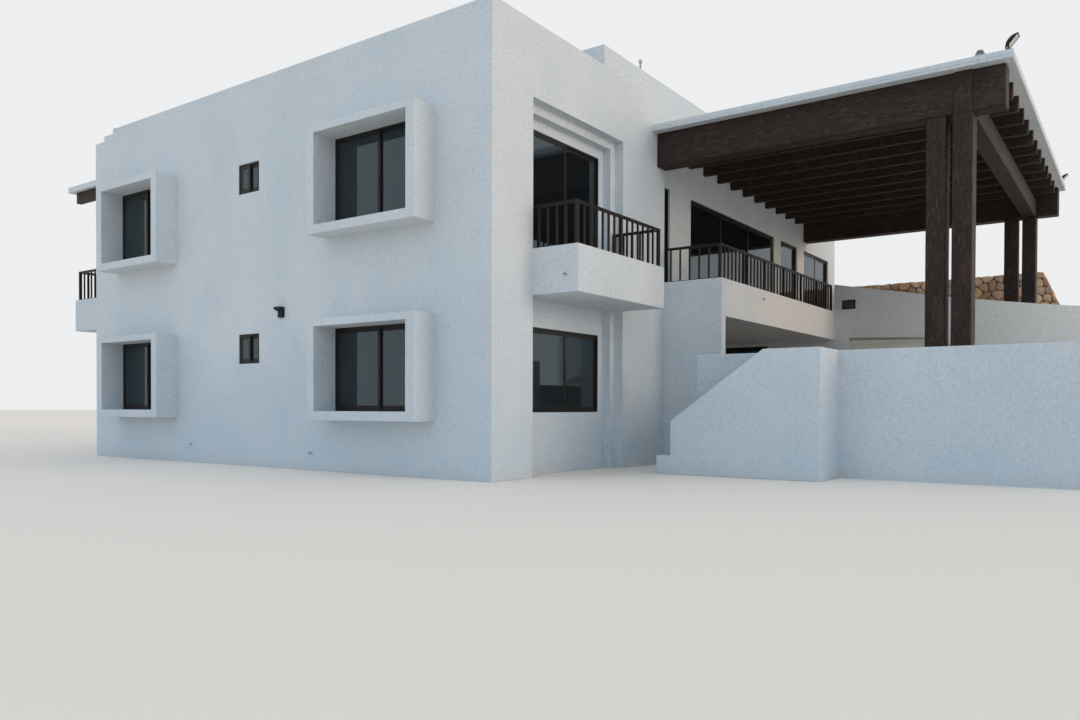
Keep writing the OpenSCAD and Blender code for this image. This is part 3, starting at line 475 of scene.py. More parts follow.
boxFaces = [(0, 1, 3, 2), (4, 6, 7, 5), (0, 4, 5, 1), (2, 3, 7, 6), (0, 2, 6, 4), (1, 5, 7, 3)]


def addBox(bm, low, high, place=Vector, finish=0):
    corners = [(x, y, z) for x in (low[0], high[0]) for y in (low[1], high[1]) for z in (low[2], high[2])]
    addSolid(bm, corners, boxFaces, place, finish)


def addRing(bm, low, high, width, place):
    # a mitred frame in the first and third axes, from low to high, open in the middle
    u0, v0, z0 = low
    u1, v1, z1 = high
    corners = []
    for v in (v0, v1):
        for inset in (0, width):
            corners += [(u0 + inset, v, z0 + inset), (u1 - inset, v, z0 + inset),
                        (u1 - inset, v, z1 - inset), (u0 + inset, v, z1 - inset)]
    faces = []
    for k in range(4):
        n = (k + 1) % 4
        faces += [(k, n, 4 + n, 4 + k), (8 + k, 12 + k, 12 + n, 8 + n),
                  (k, 8 + k, 8 + n, n), (4 + k, 4 + n, 12 + n, 12 + k)]
    addSolid(bm, corners, faces, place)


def addPrism(bm, corners, place=Vector):
    # a solid between two like outlines, the first half of the corners and the second
    count = len(corners) // 2
    faces = [tuple(range(count)), tuple(range(2 * count - 1, count - 1, -1))]
    faces += [(k, count + k, count + (k + 1) % count, (k + 1) % count) for k in range(count)]
    addSolid(bm, corners, faces, place)


def addProfile(bm, profile, x0, x1, place):
    # an outline in the second and third axes, drawn out from x0 to x1
    addPrism(bm, [(x, b, a) for x in (x0, x1) for b, a in profile], place)


def joinRings(bm, rings):
    made = []
    for first, second in zip(rings, rings[1:]):
        for k in range(len(first)):
            n = (k + 1) % len(first)
            made.append(bm.faces.new((first[k], first[n], second[n], second[k])))
    return made


def addTube(bm, start, end, radius, sides):
    start, end = Vector(start), Vector(end)
    turn = (end - start).to_track_quat("Z", "Y").to_matrix()
    steps = [2 * math.pi * k / sides for k in range(sides)]
    rings = [[bm.verts.new(centre + turn @ Vector((radius * math.cos(a), radius * math.sin(a), 0)))
              for a in steps] for centre in (start, end)]
    joinRings(bm, rings)
    bm.faces.new(rings[0][::-1])
    bm.faces.new(rings[1])


def meshOf(nodeName):
    bm = bmesh.new()
    bm.from_mesh(nodes[nodeName].data)
    bmesh.ops.remove_doubles(bm, verts=bm.verts, dist=meshCare["weld"])
    return bm


def flatMeshOf(nodeName):
    bm = meshOf(nodeName)
    bmesh.ops.dissolve_limit(bm, angle_limit=math.radians(meshCare["flat"]), verts=bm.verts, edges=bm.edges)
    return bm


def solidsOf(nodeName):
    # the box of each loose solid in a node, from its low to its high corner
    bm = meshOf(nodeName)
    seen, boxes = set(), []
    for first in bm.verts:
        if first in seen:
            continue
        seen.add(first)
        stack, group = [first], []
        while stack:
            vert = stack.pop()
            group.append(vert.co.copy())
            for edge in vert.link_edges:
                other = edge.other_vert(vert)
                if other not in seen:
                    seen.add(other)
                    stack.append(other)
        boxes.append((Vector(map(min, zip(*group))), Vector(map(max, zip(*group)))))
    bm.free()
    return sorted(boxes, key=lambda box: [round(box[0][k], meshCare["sortTo"]) for k in (2, 0, 1)])


# Masonry and joists: the node's own form with its open arrises rounded, where no other node meets them
arris = {
    "touch": 0.004,     # metres within which another node counts as meeting an edge
    "sharp": 35,        # degrees from which an edge is an arris
    "samples": (0.08, 0.5, 0.92),
    "segments": 3,
    "profile": 0.5,     # a round arris
}
arrisRadius = {
    "left_wall": 0.008,
    "front_wall": 0.008,
    "lower_wing_wall": 0.008,
    "upper_wing_wall": 0.008,
    "rear_wall": 0.008,
    "right_wall": 0.008,
    "raised_parapet": 0.008,
    "window_boxes": 0.007,
    "front_balcony": 0.008,
    "terrace_slab": 0.009,
    "terrace_end_wall": 0.008,
    "swept_wall": 0.010,
    "swept_base_wall": 0.010,
    "garden_wall": 0.014,
    "stair_parapet": 0.013,
    "garden_stair": 0.010,
    "retaining_walls": 0.012,
    "rear_balcony": 0.009,
    "rear_canopy": 0.008,
    "pergola_joists": 0.022,
    "rear_canopy_joists": 0.018,
}
otherFinish = {         # what isn't white stucco
    "swept_base_wall": "creamStucco",
    "pergola_joists": "darkTimberY",
    "rear_canopy_joists": "darkTimberY",
}


def otherSurfaces(nodeName):
    verts, polygons = [], []
    for name, node in nodes.items():
        if name == nodeName:
            continue
        start = len(verts)
        verts += [v.co.copy() for v in node.data.vertices]
        polygons += [[start + k for k in p.vertices] for p in node.data.polygons]
    return BVHTree.FromPolygons(verts, polygons)


def openArrises(bm, tree):
    found = []
    for edge in bm.edges:
        if len(edge.link_faces) != 2 or not edge.is_convex:
            continue
        if edge.calc_face_angle(0) < math.radians(arris["sharp"]):
            continue
        a, b = (v.co for v in edge.verts)
        points = [a.lerp(b, share) for share in arris["samples"]]
        if all(tree.find_nearest(p, arris["touch"])[0] is None for p in points):
            found.append(edge)
    return found


def roundEdges(bm, edges, radius):
    bmesh.ops.bevel(bm, geom=edges, offset=radius, segments=arris["segments"], profile=arris["profile"],
                    affect="EDGES", clamp_overlap=True)


def softForm(nodeName, radius, finish):
    bm = flatMeshOf(nodeName)
    edges = openArrises(bm, otherSurfaces(nodeName))
    if edges:
        roundEdges(bm, edges, radius)
    addPiece(nodeName + "_finish", bm, [finish], [nodeName])


for nodeName, radius in arrisRadius.items():
    softForm(nodeName, radius, otherFinish.get(nodeName, "whiteStucco"))
print("masonry and joists: %d rounded forms" % len(arrisRadius))


# Pergola frame: shafts, cheeks, main beams and girder with the wide soft arrises of the photo
pergolaFrame = {
    "shaftRadius": 0.020,
    "cheekRadius": 0.007,
    "beamRadius": 0.028,
    "segments": 4,
    "cheekRise": 0.1,       # a column that rises further than this above the beams' underside has a cheek
    "cheekInset": 0.018,
    "cheekDepth": 0.030,
    "cheekLap": 0.003,
}


def buildPergolaFrame():
    look = pergolaFrame
    inset = look["cheekInset"]
    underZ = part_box("pergola_beams")[0].z
    shafts, cheeks, beams = bmesh.new(), bmesh.new(), bmesh.new()
    for low, high in solidsOf("pergola_columns"):
        addBox(shafts, low, (high.x, high.y, underZ))
        if high.z > underZ + look["cheekRise"]:
            addBox(cheeks, (low.x, low.y + inset, underZ - look["cheekLap"]),
                   (low.x + look["cheekDepth"], high.y - inset, high.z))
    for nodeName, finish in (("pergola_beams", 0), ("pergola_girder", 1)):
        for low, high in solidsOf(nodeName):
            addBox(beams, low, high, finish=finish)
    addPiece("pergola_shafts", shafts, ["darkTimberZ"], ["pergola_columns"],
             look["shaftRadius"], look["segments"])
    addPiece("pergola_cheeks", cheeks, ["darkTimberZ"], (), look["cheekRadius"], look["segments"])
    addPiece("pergola_main_beams", beams, ["darkTimberY", "darkTimberX"],
             ["pergola_beams", "pergola_girder"], look["beamRadius"], look["segments"])


buildPergolaFrame()
print("pergola: shafts, cheeks and main beams")


# Roof slab: a fascia with a shadow groove, and a drip groove under its three free edges
roofEdge = {
    "lipTall": 0.045,
    "grooveTall": 0.007,
    "grooveDeep": 0.008,
    "grooveLap": 0.003,
    "dripStrip": 0.042,
    "dripGap": 0.012,
    "dripDeep": 0.008,
    "dripLap": 0.002,
    "topRadius": 0.010,
    "footRadius": 0.004,
    "near": 0.0005,         # metres within which a point lies on the slab's side
}


def buildRoofSlab():
    low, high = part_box("pergola_slab")
    wallLow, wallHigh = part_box("front_wall")
    notchX, notchY = wallHigh.x, wallLow.y
    look = roofEdge
    strip, near = look["dripStrip"], look["near"]
    dripZ, grooveZ = low.z + look["dripDeep"], low.z + look["lipTall"]
    backZ = grooveZ + look["grooveTall"]
    bm = bmesh.new()

    def addLayer(outline, lowZ, highZ):
        addPrism(bm, [(x, y, z) for z in (lowZ, highZ) for x, y in outline])

    def plan(inset):
        return [(low.x + inset, low.y + inset), (high.x - inset, low.y + inset), (high.x - inset, high.y),
                (notchX, high.y), (notchX, notchY), (low.x + inset, notchY)]

    addLayer([(low.x, low.y), (high.x, low.y), (high.x, high.y), (high.x - strip, high.y),
              (high.x - strip, low.y + strip), (low.x + strip, low.y + strip),
              (low.x + strip, notchY), (low.x, notchY)], low.z, dripZ + look["dripLap"])
    addLayer(plan(strip + look["dripGap"]), low.z, dripZ + look["dripLap"])
    addLayer(plan(0.0), dripZ, grooveZ)
    addLayer(plan(look["grooveDeep"]), grooveZ - look["grooveLap"], backZ + look["grooveLap"])
    addLayer(plan(0.0), backZ, high.z)
    for level, radius in ((high.z, look["topRadius"]), (low.z, look["footRadius"])):
        edges = [e for e in bm.edges if all(abs(v.co.z - level) < near for v in e.verts)
                 and any(all(abs(v.co[k] - side[k]) < near for v in e.verts)
                         for k, side in ((0, low), (0, high), (1, low)))]
        roundEdges(bm, edges, radius)
    addPiece("roof_slab_fascia", bm, ["whiteStucco"], ["pergola_slab"])


buildRoofSlab()
print("roof slab: fascia and drip")


# Ledge along the head of the cream wall, under the swept wall
sweptLedge = {
    "sweepRadius": 18.3,
    "back": 0.25,
    "out": 0.044,
    "root": 0.02,
    "fillet": 0.035,        # height of the fillet, which stands out by a share of the ledge
    "filletShare": 0.8,
    "cant": 0.008,
    "wash": 0.012,
    "low": 2.735,
    "high": 2.868,
    "from": 0.03,
    "to": 6.15,
    "steps": 40,
    "bevel": 0.006,
}


def buildLedge():
    low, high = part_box("swept_wall")
    look = sweptLedge
    centre = Vector((low.x + look["sweepRadius"], high.y))
    base = look["sweepRadius"] - look["back"]
    inner, fillet, outer = base - look["root"], base + look["out"] * look["filletShare"], base + look["out"]
    lowZ, stepZ, highZ = look["low"], look["low"] + look["fillet"], look["high"]
    profile = [(inner, lowZ), (fillet, lowZ), (fillet, stepZ), (outer, stepZ + look["cant"]),
               (outer, highZ - look["wash"]), (inner, highZ)]
    bm = bmesh.new()
    rings = []
    for k in range(look["steps"] + 1):
        run = look["from"] + (look["to"] - look["from"]) * k / look["steps"]
        turn = math.asin(run / look["sweepRadius"])
        out = Vector((-math.cos(turn), -math.sin(turn)))
        rings.append([bm.verts.new((*(centre + out * radius), z)) for radius, z in profile])
    joinRings(bm, rings)
    bm.faces.new(rings[0][::-1])
    bm.faces.new(rings[-1])
    addPiece("swept_base_ledge", bm, ["creamStucco"], bevel=look["bevel"])


buildLedge()
print("swept base wall: ledge")


# Floors and decks keep their CAD form and take the screed
for nodeName in ("ground_floor", "upper_floor", "roof_slab", "upper_deck", "raised_terrace"):
    nodes[nodeName].data.materials.clear()
    nodes[nodeName].data.materials.append(bpy.data.materials["plainScreed"])
print("floors: screed")


# Windows: two-track sliding sashes with beads, gaskets, pulls and track ribs, sized by the CAD frames
windowSet = {
    "frameFace": 0.034,
    "stileFace": 0.052,
    "sashDepth": 0.022,
    "outerTrack": 0.006,
    "innerTrack": 0.032,
    "tuck": 0.004,          # how far a sash runs into the frame, and a pane into its sash
    "overlap": 0.052,
    "beadFace": 0.009,
    "beadBack": 0.004,
    "beadLap": 0.002,
    "gasketFace": 0.005,
    "gasketBack": 0.006,
    "gasketLap": 0.003,
    "gasketSeat": 0.001,
    "paneThickness": 0.006,
    "ribThickness": 0.003,
    "ribTall": 0.014,
    "ribGap": 0.001,        # from the outer sash to the middle rib
    "ribBack": 0.006,       # from the frame's back to the inner rib
    "pull": (0.016, 0.007, 0.16),
    "pullFrom": 1.0,        # height in metres from which a sash has a pull
    "pullHeight": 0.45,     # its middle, as a share of the window's height
    "weep": (0.035, 0.003, 0.008),
    "weepFoot": 0.010,
    "weepAt": (0.2, 0.8),
    "lap": 0.002,
    "bevel": 0.0016,
}
facings = {
    "left": Vector((-1, 0, 0)),
    "front": Vector((0, -1, 0)),
    "wing": Vector((0, -1, 0)),
    "rear": Vector((0, 1, 0)),
    "right": Vector((1, 0, 0)),
}
sideDoorFacing = Vector((-1, 0, 0))


def facingOf(side, box):
    # the porch's side door is the one wing frame that stands across the others
    size = box[1] - box[0]
    return facings[side] if (size.x < size.y) == bool(facings[side].x) else sideDoorFacing


def wallPlace(box, facing):
    # a function from (u, v, z) to the house, with u along the wall, v inwards from the frame's outer
    # face and z up from its foot; then the frame's width and height
    low, high = box
    along = Vector((0, 1, 0)) if facing.x else Vector((1, 0, 0))
    start = Vector((high.x if facing.x > 0 else low.x, high.y if facing.y > 0 else low.y, low.z))
    width = (high - low).dot(along)
    return (lambda p: start + along * p[0] - facing * p[1] + Vector((0, 0, p[2]))), width, high.z - low.z


def grown(opening, by, near, far):
    # low and high corners of an opening (left, foot, right, top) let out on all sides, from near to far
    left, foot, right, top = opening
    return (left - by, near, foot - by), (right + by, far, top + by)


def addSash(bars, panes, seals, place, left, right, height, track):
    look = windowSet
    face, bead, foot = look["stileFace"], look["beadFace"], look["frameFace"] - look["tuck"]
    top = height - foot
    middle, half = track + look["sashDepth"] / 2, look["paneThickness"] / 2
    addRing(bars, (left, track, foot), (right, track + look["sashDepth"], top), face, place)
    opening = (left + face, foot + face, right - face, top - face)
    addRing(bars, *grown(opening, look["beadLap"], track + look["beadBack"], middle - half), bead, place)
    addRing(seals, *grown(opening, look["gasketLap"] - bead, track + look["gasketBack"],
                          middle - half + look["gasketSeat"]), look["gasketFace"], place)
    addBox(panes, *grown(opening, look["tuck"], middle - half, middle + half), place)


def addWindow(bars, panes, seals, box, facing, count):
    look = windowSet
    place, width, height = wallPlace(box, facing)
    depth = abs((box[1] - box[0]).dot(facing))
    face, tuck, lap, overlap = (look[k] for k in ("frameFace", "tuck", "lap", "overlap"))
    addRing(bars, (0, 0, 0), (width, depth, height), face, place)
    sash = (width - 2 * face + 2 * tuck + (count - 1) * overlap) / count
    pullWide, pullDeep, pullTall = look["pull"]
    for k in range(count):
        left = face - tuck + k * (sash - overlap)
        outside = (k % 2 == 0 and count > 1) != (facing.x < 0 or facing.y > 0)
        track = look["outerTrack" if outside else "innerTrack"]
        addSash(bars, panes, seals, place, left, left + sash, height, track)
        if count > 1 and height > look["pullFrom"]:
            edge = left + look["stileFace"] / 2 if k else left + sash - look["stileFace"] / 2
            middle = height * look["pullHeight"]
            addBox(bars, (edge - pullWide / 2, track - pullDeep, middle - pullTall / 2),
                   (edge + pullWide / 2, track + lap, middle + pullTall / 2), place)
    for v in (look["outerTrack"] + look["sashDepth"] + look["ribGap"], depth - look["ribBack"]):
        for low, high in ((face - lap, face + look["ribTall"]),
                          (height - face - look["ribTall"], height - face + lap)):
            addBox(bars, (face, v, low), (width - face, v + look["ribThickness"], high), place)
    weepWide, weepDeep, weepTall = look["weep"]
    for u in (width * share for share in look["weepAt"]):
        addBox(bars, (u - weepWide / 2, -weepDeep, look["weepFoot"]),
               (u + weepWide / 2, lap / 2, look["weepFoot"] + weepTall), place)


def buildWindows(side):
    frames = solidsOf(side + "_window_frames")
    glass = solidsOf(side + "_window_glass")
    lap = windowSet["lap"]
    bars, panes, seals = bmesh.new(), bmesh.new(), bmesh.new()
    for box in frames:
        inside = [g for g in glass if all(box[0][k] - lap <= g[0][k] and g[1][k] <= box[1][k] + lap
                                          for k in range(3))]
        addWindow(bars, panes, seals, box, facingOf(side, box), len(inside))
    addPiece(side + "_sashes", bars, ["bronzeAluminium"], [side + "_window_frames"], windowSet["bevel"], 1)
    addPiece(side + "_panes", panes, ["paneGlass"], [side + "_window_glass"])
    addPiece(side + "_gaskets", seals, ["blackRubber"])
    return len(frames)


windowCount = sum(buildWindows(side) for side in facings)
print("windows: %d with sliding sashes" % windowCount)


# Railings: square posts and bars under a capped rail; the returns have a bottom rail as well
railing = {
    "post": 0.055,
    "bar": 0.030,
    "capTall": 0.014,
    "web": (0.036, 0.033),   # width and height of the bar under the cap
    "webInset": 0.004,
    "footRail": 0.022,
    "footGap": 0.002,
    "shy": 0.0005,           # how far a post stands inside the cap's faces
    "weld": (0.001, 0.002, 0.003),       # laps of posts, web and bars into what they are welded to
    "plug": (0.004, 0.003),  # how far the foot plate stands round the post, and its height
    "bevel": 0.003,
}
railings = {
    "front_balcony_railing": {"bays": 2, "bars": 6, "sideBars": 4, "sides": (0, 1), "out": -1},
    "terrace_railing": {"bays": 6, "bars": 5, "sideBars": 5, "sides": (0,), "out": -1},
    "rear_balcony_railing": {"bays": 6, "bars": 6, "sideBars": 7, "sides": (0, 1), "out": 1},
}


def addRun(bm, start, end, floorZ, topZ, bays, bars, returnRun=False):
    # one straight run between the outer faces of its end posts; a return run leaves its corner post out
    start, end = Vector(start), Vector(end)
    length = (end - start).length
    turn = math.atan2(end.y - start.y, end.x - start.x)
    spin = Matrix.Translation(start) @ Matrix.Rotation(turn, 4, "Z")
    place = lambda p: spin @ Vector(p)
    post = railing["post"]
    half, thin = post / 2, railing["bar"] / 2
    postLap, webLap, barLap = railing["weld"]
    first = post - postLap if returnRun else 0
    capLow = topZ - railing["capTall"]
    webWide, webTall = railing["web"]
    plugOut, plugTall = railing["plug"]
    shy = half - railing["shy"]
    addBox(bm, (first, -half, capLow), (length, half, topZ), place)
    addBox(bm, (first + railing["webInset"], -webWide / 2, capLow - webTall),
           (length - postLap, webWide / 2, capLow + webLap), place)
    if returnRun:
        addBox(bm, (first, -thin, floorZ + railing["footGap"]),
               (length - postLap, thin, floorZ + railing["footRail"]), place)
    bay = (length - post) / bays
    for i in range(1 if returnRun else 0, bays + 1):
        x = i * bay
        addBox(bm, (x, -shy, floorZ), (x + post, shy, capLow + postLap), place)
        addBox(bm, (x - plugOut, -half - plugOut, floorZ),
               (x + post + plugOut, half + plugOut, floorZ + plugTall), place)
    for i in range(bays):
        for k in range(1, bars + 1):
            x = i * bay + post + k * (bay - post) / (bars + 1)
            addBox(bm, (x - thin, -thin, floorZ), (x + thin, thin, capLow - webTall + barLap), place)


def buildRailing(nodeName):
    look = railings[nodeName]
    low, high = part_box(nodeName)
    half = railing["post"] / 2
    lineY = low.y + half if look["out"] < 0 else high.y - half
    wallY = high.y if look["out"] < 0 else low.y
    cornerY = lineY + look["out"] * half
    bm = bmesh.new()
    addRun(bm, (low.x, lineY, 0), (high.x, lineY, 0), low.z, high.z, look["bays"], look["bars"])
    for side in look["sides"]:
        x = high.x - half if side else low.x + half
        addRun(bm, (x, cornerY, 0), (x, wallY, 0), low.z, high.z, 1, look["sideBars"], True)
    addPiece(nodeName + "_metal", bm, ["railPaint"], [nodeName], railing["bevel"])


for nodeName in railings:
    buildRailing(nodeName)
print("railings: %d welded" % len(railings))


# Rubble wall: a mortar core and fitted stones, laid out as shrunken cells round scattered centres
rubble = {
    "seed": 41,
    "stoneWide": 0.27,
    "stoneTall": 0.215,
    "joint": 0.015,
    "bond": 0.25,       # how far every other course is shifted, as a share of a stone
    "scatter": 0.36,
    "reach": 2,         # how many places away another stone still shapes a cell
    "corner": 0.22,     # share of a side that a rounding pass cuts off
    "passes": 2,
    "smallest": 0.05,   # metres from a stone's middle to its furthest corner
    "inset": 0.05,      # mortar stands this far behind the wall's faces
    "face": 0.99,       # the share of the inset that a stone may stand out at most
    "rise": (0.72, 1.0),                 # how far stones do stand out, as shares of it
    "crown": 1.02,      # their middles against that
    "tilt": 0.10,
    "waver": (0.985, 1.0),               # how far a ring's points draw in
    "lumps": 0.05,      # how much their height varies
    "shade": (0.75, 1.15),
    "tones": [(0.73, 0.44, 0.24), (0.75, 0.47, 0.30), (0.67, 0.46, 0.29),
              (0.52, 0.31, 0.17), (0.86, 0.60, 0.37)],
    "rings": [(1.0, -0.35), (1.0, 0.42), (0.90, 0.72), (0.68, 0.92), (0.36, 1.0)],
    "near": 0.01,       # metres within which a point of the outline lies at a level
    "foot": 0.1,        # what is lower than this, or nearer the free end, is the wall's foot or its end
    "roundTo": 4,
}


def clipCell(polygon, normal, limit):
    # keeps the part of a plane polygon where normal . point <= limit
    kept = []
    for k, point in enumerate(polygon):
        before = polygon[k - 1]
        dHere = point.dot(normal) - limit
        dBefore = before.dot(normal) - limit
        if (dHere <= 0) != (dBefore <= 0):
            kept.append(before.lerp(point, dBefore / (dBefore - dHere)))
        if dHere <= 0:
            kept.append(point)
    return kept


def roundCell(polygon):
    for _ in range(rubble["passes"]):
        cut = []
        for k, point in enumerate(polygon):
            after = polygon[(k + 1) % len(polygon)]
            cut += [point.lerp(after, rubble["corner"]), point.lerp(after, 1 - rubble["corner"])]
        polygon = cut
    return polygon


def scatterCentres(width, height):
    columns = max(1, round(width / rubble["stoneWide"]))
    rows = max(1, round(height / rubble["stoneTall"]))
    stepU, stepW = width / columns, height / rows
    centres = {}
    for i in range(-1, columns + 1):
        for j in range(-1, rows + 1):
            shift = rubble["bond"] if j % 2 else -rubble["bond"]
            centres[i, j] = Vector(((i + 0.5 + shift + random.uniform(-1, 1) * rubble["scatter"]) * stepU,
                                    (j + 0.5 + random.uniform(-1, 1) * rubble["scatter"]) * stepW))
    return centres


def cellOf(spot, centres, width, height, cuts):
    # the face's part that is nearest to one centre, less half a joint on every side
    joint, reach = rubble["joint"] / 2, rubble["reach"]
    centre = centres[spot]
    cell = [Vector((joint, joint)), Vector((width - joint, joint)),
            Vector((width - joint, height - joint)), Vector((joint, height - joint))]
    for other, place in centres.items():
        if other != spot and abs(other[0] - spot[0]) <= reach and abs(other[1] - spot[1]) <= reach:
            unit = (place - centre).normalized()
            cell = clipCell(cell, unit, unit.dot((centre + place) / 2) - joint)
    for normal, limit in cuts(centre):
        cell = clipCell(cell, normal, limit - joint)
    return cell


def addStone(bm, tones, cell, middle, place):
    highest = rubble["inset"] * rubble["face"]
    rise = rubble["inset"] * random.uniform(*rubble["rise"])
    tilt = Vector([random.uniform(-rubble["tilt"], rubble["tilt"]) for _ in range(2)])
    tone = Vector(random.choice(rubble["tones"])) * random.uniform(*rubble["shade"])
    rings = []
    for scale, lift in rubble["rings"]:
        ring = []
        for p in cell:
            spot = middle + (p - middle) * scale * random.uniform(*rubble["waver"])
            lump = 1 + random.uniform(-rubble["lumps"], rubble["lumps"])
            out = min(rise * lift * lump + tilt.dot(spot - middle) * lift, highest)
            ring.append(bm.verts.new(place(spot.x, spot.y, out)))
        rings.append(ring)
    cap = bm.verts.new(place(middle.x, middle.y, min(rise * rubble["crown"], highest)))
    top = rings[-1]
    made = joinRings(bm, rings)
    made += [bm.faces.new((here, after, cap)) for here, after in zip(top, top[1:] + top[:1])]
    made.append(bm.faces.new(rings[0][::-1]))
    for face in made:
        face.smooth = True
        for loop in face.loops:
            loop[tones] = (*tone, 1)


def newStones():
    bm = bmesh.new()
    bm.loops.layers.float_color.new(stoneLook["base"])
    return bm


def addStones(bm, width, height, place, cuts=lambda centre: ()):
    # lays stones over a width by height face; cuts(centre) gives more cuts as (normal, limit)
    tones = bm.loops.layers.float_color[stoneLook["base"]]
    centres = scatterCentres(width, height)
    for spot in centres:
        cell = cellOf(spot, centres, width, height, cuts)
        if len(cell) < 3:
            continue
        middle = sum(cell, Vector((0, 0))) / len(cell)
        if max((p - middle).length for p in cell) >= rubble["smallest"]:
            addStone(bm, tones, roundCell(cell), middle, place)


def rubbleProfile():
    # where the slope's top and foot lie along Y, and the level of the ledge at its foot
    bm = meshOf("rubble_wall")
    low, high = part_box("rubble_wall")
    near, foot, digits = rubble["near"], rubble["foot"], rubble["roundTo"]
    spots = {(round(v.co.y, digits), round(v.co.z, digits)) for v in bm.verts if v.co.x < low.x + near}
    bm.free()
    slopeFoot, ledgeZ = max(spot for spot in spots if low.z + foot < spot[1] < high.z - near)
    return min(y for y, z in spots if z > high.z - near), slopeFoot, ledgeZ


def addMortar():
    low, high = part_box("rubble_wall")
    inset, foot = rubble["inset"], rubble["foot"]
    core = meshOf("rubble_wall")
    for vert in core.verts:
        vert.co.x += inset if vert.co.x < (low.x + high.x) / 2 else -inset
        if vert.co.z > low.z + foot:
            vert.co.z -= inset
        if vert.co.y < low.y + foot:
            vert.co.y += inset
    addPiece("rubble_mortar", core, ["rubbleMortar"], ["rubble_wall"])


def buildRubble():
    random.seed(rubble["seed"])
    addMortar()
    low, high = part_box("rubble_wall")
    inset = rubble["inset"]
    slopeTop, slopeFoot, ledgeZ = rubbleProfile()
    run, rise, wide = slopeTop - slopeFoot, high.z - ledgeZ, high.x - low.x
    length = math.hypot(run, rise)
    slopeStep, slopeNormal = Vector((run, rise)) / length, Vector((-rise / length, run / length))
    slopeLimit = slopeNormal.dot(Vector((slopeFoot - low.y, ledgeZ - low.z)))

    def sideCuts(centre):
        # on a side, the first axis is the distance from the free end and the second is the height
        if centre.y > ledgeZ - low.z:
            return [(slopeNormal, slopeLimit)]
        if centre.x < slopeFoot - low.y:
            return [(Vector((0, 1)), ledgeZ - low.z)]
        return []

    def onSlope(u, w, out):
        spot = Vector((slopeFoot, ledgeZ)) + slopeStep * w + slopeNormal * (out - inset)
        return Vector((low.x + u, spot.x, spot.y))

    for name, faceX, side in (("rubble_stones_deck", low.x, -1), ("rubble_stones_outer", high.x, 1)):
        bm = newStones()
        addStones(bm, high.y - low.y, high.z - low.z,
                  lambda u, w, out: Vector((faceX - side * (inset - out), low.y + u, low.z + w)), sideCuts)
        addPiece(name, bm, ["rubbleStone"])
    bm = newStones()
    addStones(bm, wide, high.y - slopeTop,
              lambda u, w, out: Vector((low.x + u, slopeTop + w, high.z - inset + out)))
    addStones(bm, wide, ledgeZ - low.z,
              lambda u, w, out: Vector((low.x + u, low.y + inset - out, low.z + w)))
    addStones(bm, wide, length, onSlope)
    addStones(bm, wide, slopeFoot - low.y,
              lambda u, w, out: Vector((low.x + u, low.y + w, ledgeZ - inset + out)))
    addPiece("rubble_stones_top", bm, ["rubbleStone"])


buildRubble()
print("rubble wall: fitted stones")


# Wall lamp: a bent hood with cheeks over a narrow body, a lens in the angle and four screws
wallLamp = {
    "bodyDeep": 0.048,
    "bodyInset": (0.006, 0.008, 0.006),  # from the cheeks' back edge, the sides and the foot
    "bodyBack": 0.004,
    "bodyTop": 0.02,         # how far the body rises into the hood
    "rootDrop": 0.068,       # from the top to where the cheeks end at the wall
    "lipDrop": 0.040,        # and at the hood's front
    "cheek": 0.005,
    "sheet": 0.006,
    "plate": 0.006,
    "lap": 0.001,
    "lensInset": 0.014,
    "lens": (0.006, 0.014),  # its underside and top above the hood's lip
    "lensBack": 0.01,
    "screwInset": (0.026, 0.022),
    "screwRadius": 0.005,
    "screwSides": 8,
    "screw": (0.007, 0.002),             # its two ends, behind the cheeks' back edge
    "slots": 5,
    "slot": (0.003, 0.008),
    "slotFoot": 0.045,
    "slotPitch": 0.012,
    "slotTall": 0.005,
    "slotInset": 0.040,
    "bevel": 0.0025,
}


def buildWallLamp():
    low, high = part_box("wall_lamp")
    look = wallLamp
    sheet, cheek, lap, inset = (look[k] for k in ("sheet", "cheek", "lap", "lensInset"))
    backIn, sideIn, footIn = look["bodyInset"]
    bodyX = high.x - look["bodyDeep"]
    lipZ, rootZ = high.z - look["lipDrop"], high.z - look["rootDrop"]
    bm = bmesh.new()
    addBox(bm, (bodyX + backIn, low.y + sideIn, low.z + footIn),
           (high.x - look["bodyBack"], high.y - sideIn, rootZ + look["bodyTop"]))
    addBox(bm, (high.x - look["plate"], low.y, low.z), (high.x, high.y, high.z - 2 * lap))
    sideways = lambda p: Vector((p[1], p[0], p[2]))
    profile = [(high.x, high.z), (low.x, high.z), (low.x, lipZ), (low.x + sheet, lipZ),
               (low.x + sheet, high.z - sheet), (high.x, high.z - sheet)]
    addProfile(bm, profile, low.y, high.y, sideways)
    outer, top = low.x + lap, high.z - lap
    side = [(high.x, top), (outer, top), (outer, lipZ), (bodyX, rootZ), (high.x, rootZ)]
    for y in (low.y + lap, high.y - lap - cheek):
        addProfile(bm, side, y, y + cheek, sideways)
    addBox(bm, (low.x + inset, low.y + inset, lipZ + look["lens"][0]),
           (bodyX + look["lensBack"], high.y - inset, lipZ + look["lens"][1]), finish=1)
    screwY, screwZ = look["screwInset"]
    for y in (low.y + screwY, high.y - screwY):
        for z in (low.z + screwZ, rootZ - screwZ):
            ends = [(bodyX + back, y, z) for back in look["screw"]]
            addTube(bm, *ends, look["screwRadius"], look["screwSides"])
    for k in range(look["slots"]):
        z = low.z + look["slotFoot"] + look["slotPitch"] * k
        addBox(bm, (bodyX + look["slot"][0], low.y + look["slotInset"], z),
               (bodyX + look["slot"][1], high.y - look["slotInset"], z + look["slotTall"]))
    addPiece("wall_lamp_hood", bm, ["lampMetal", "lampGlass"], ["wall_lamp"], look["bevel"])


buildWallLamp()
print("wall lamp: hood, lens and screws")


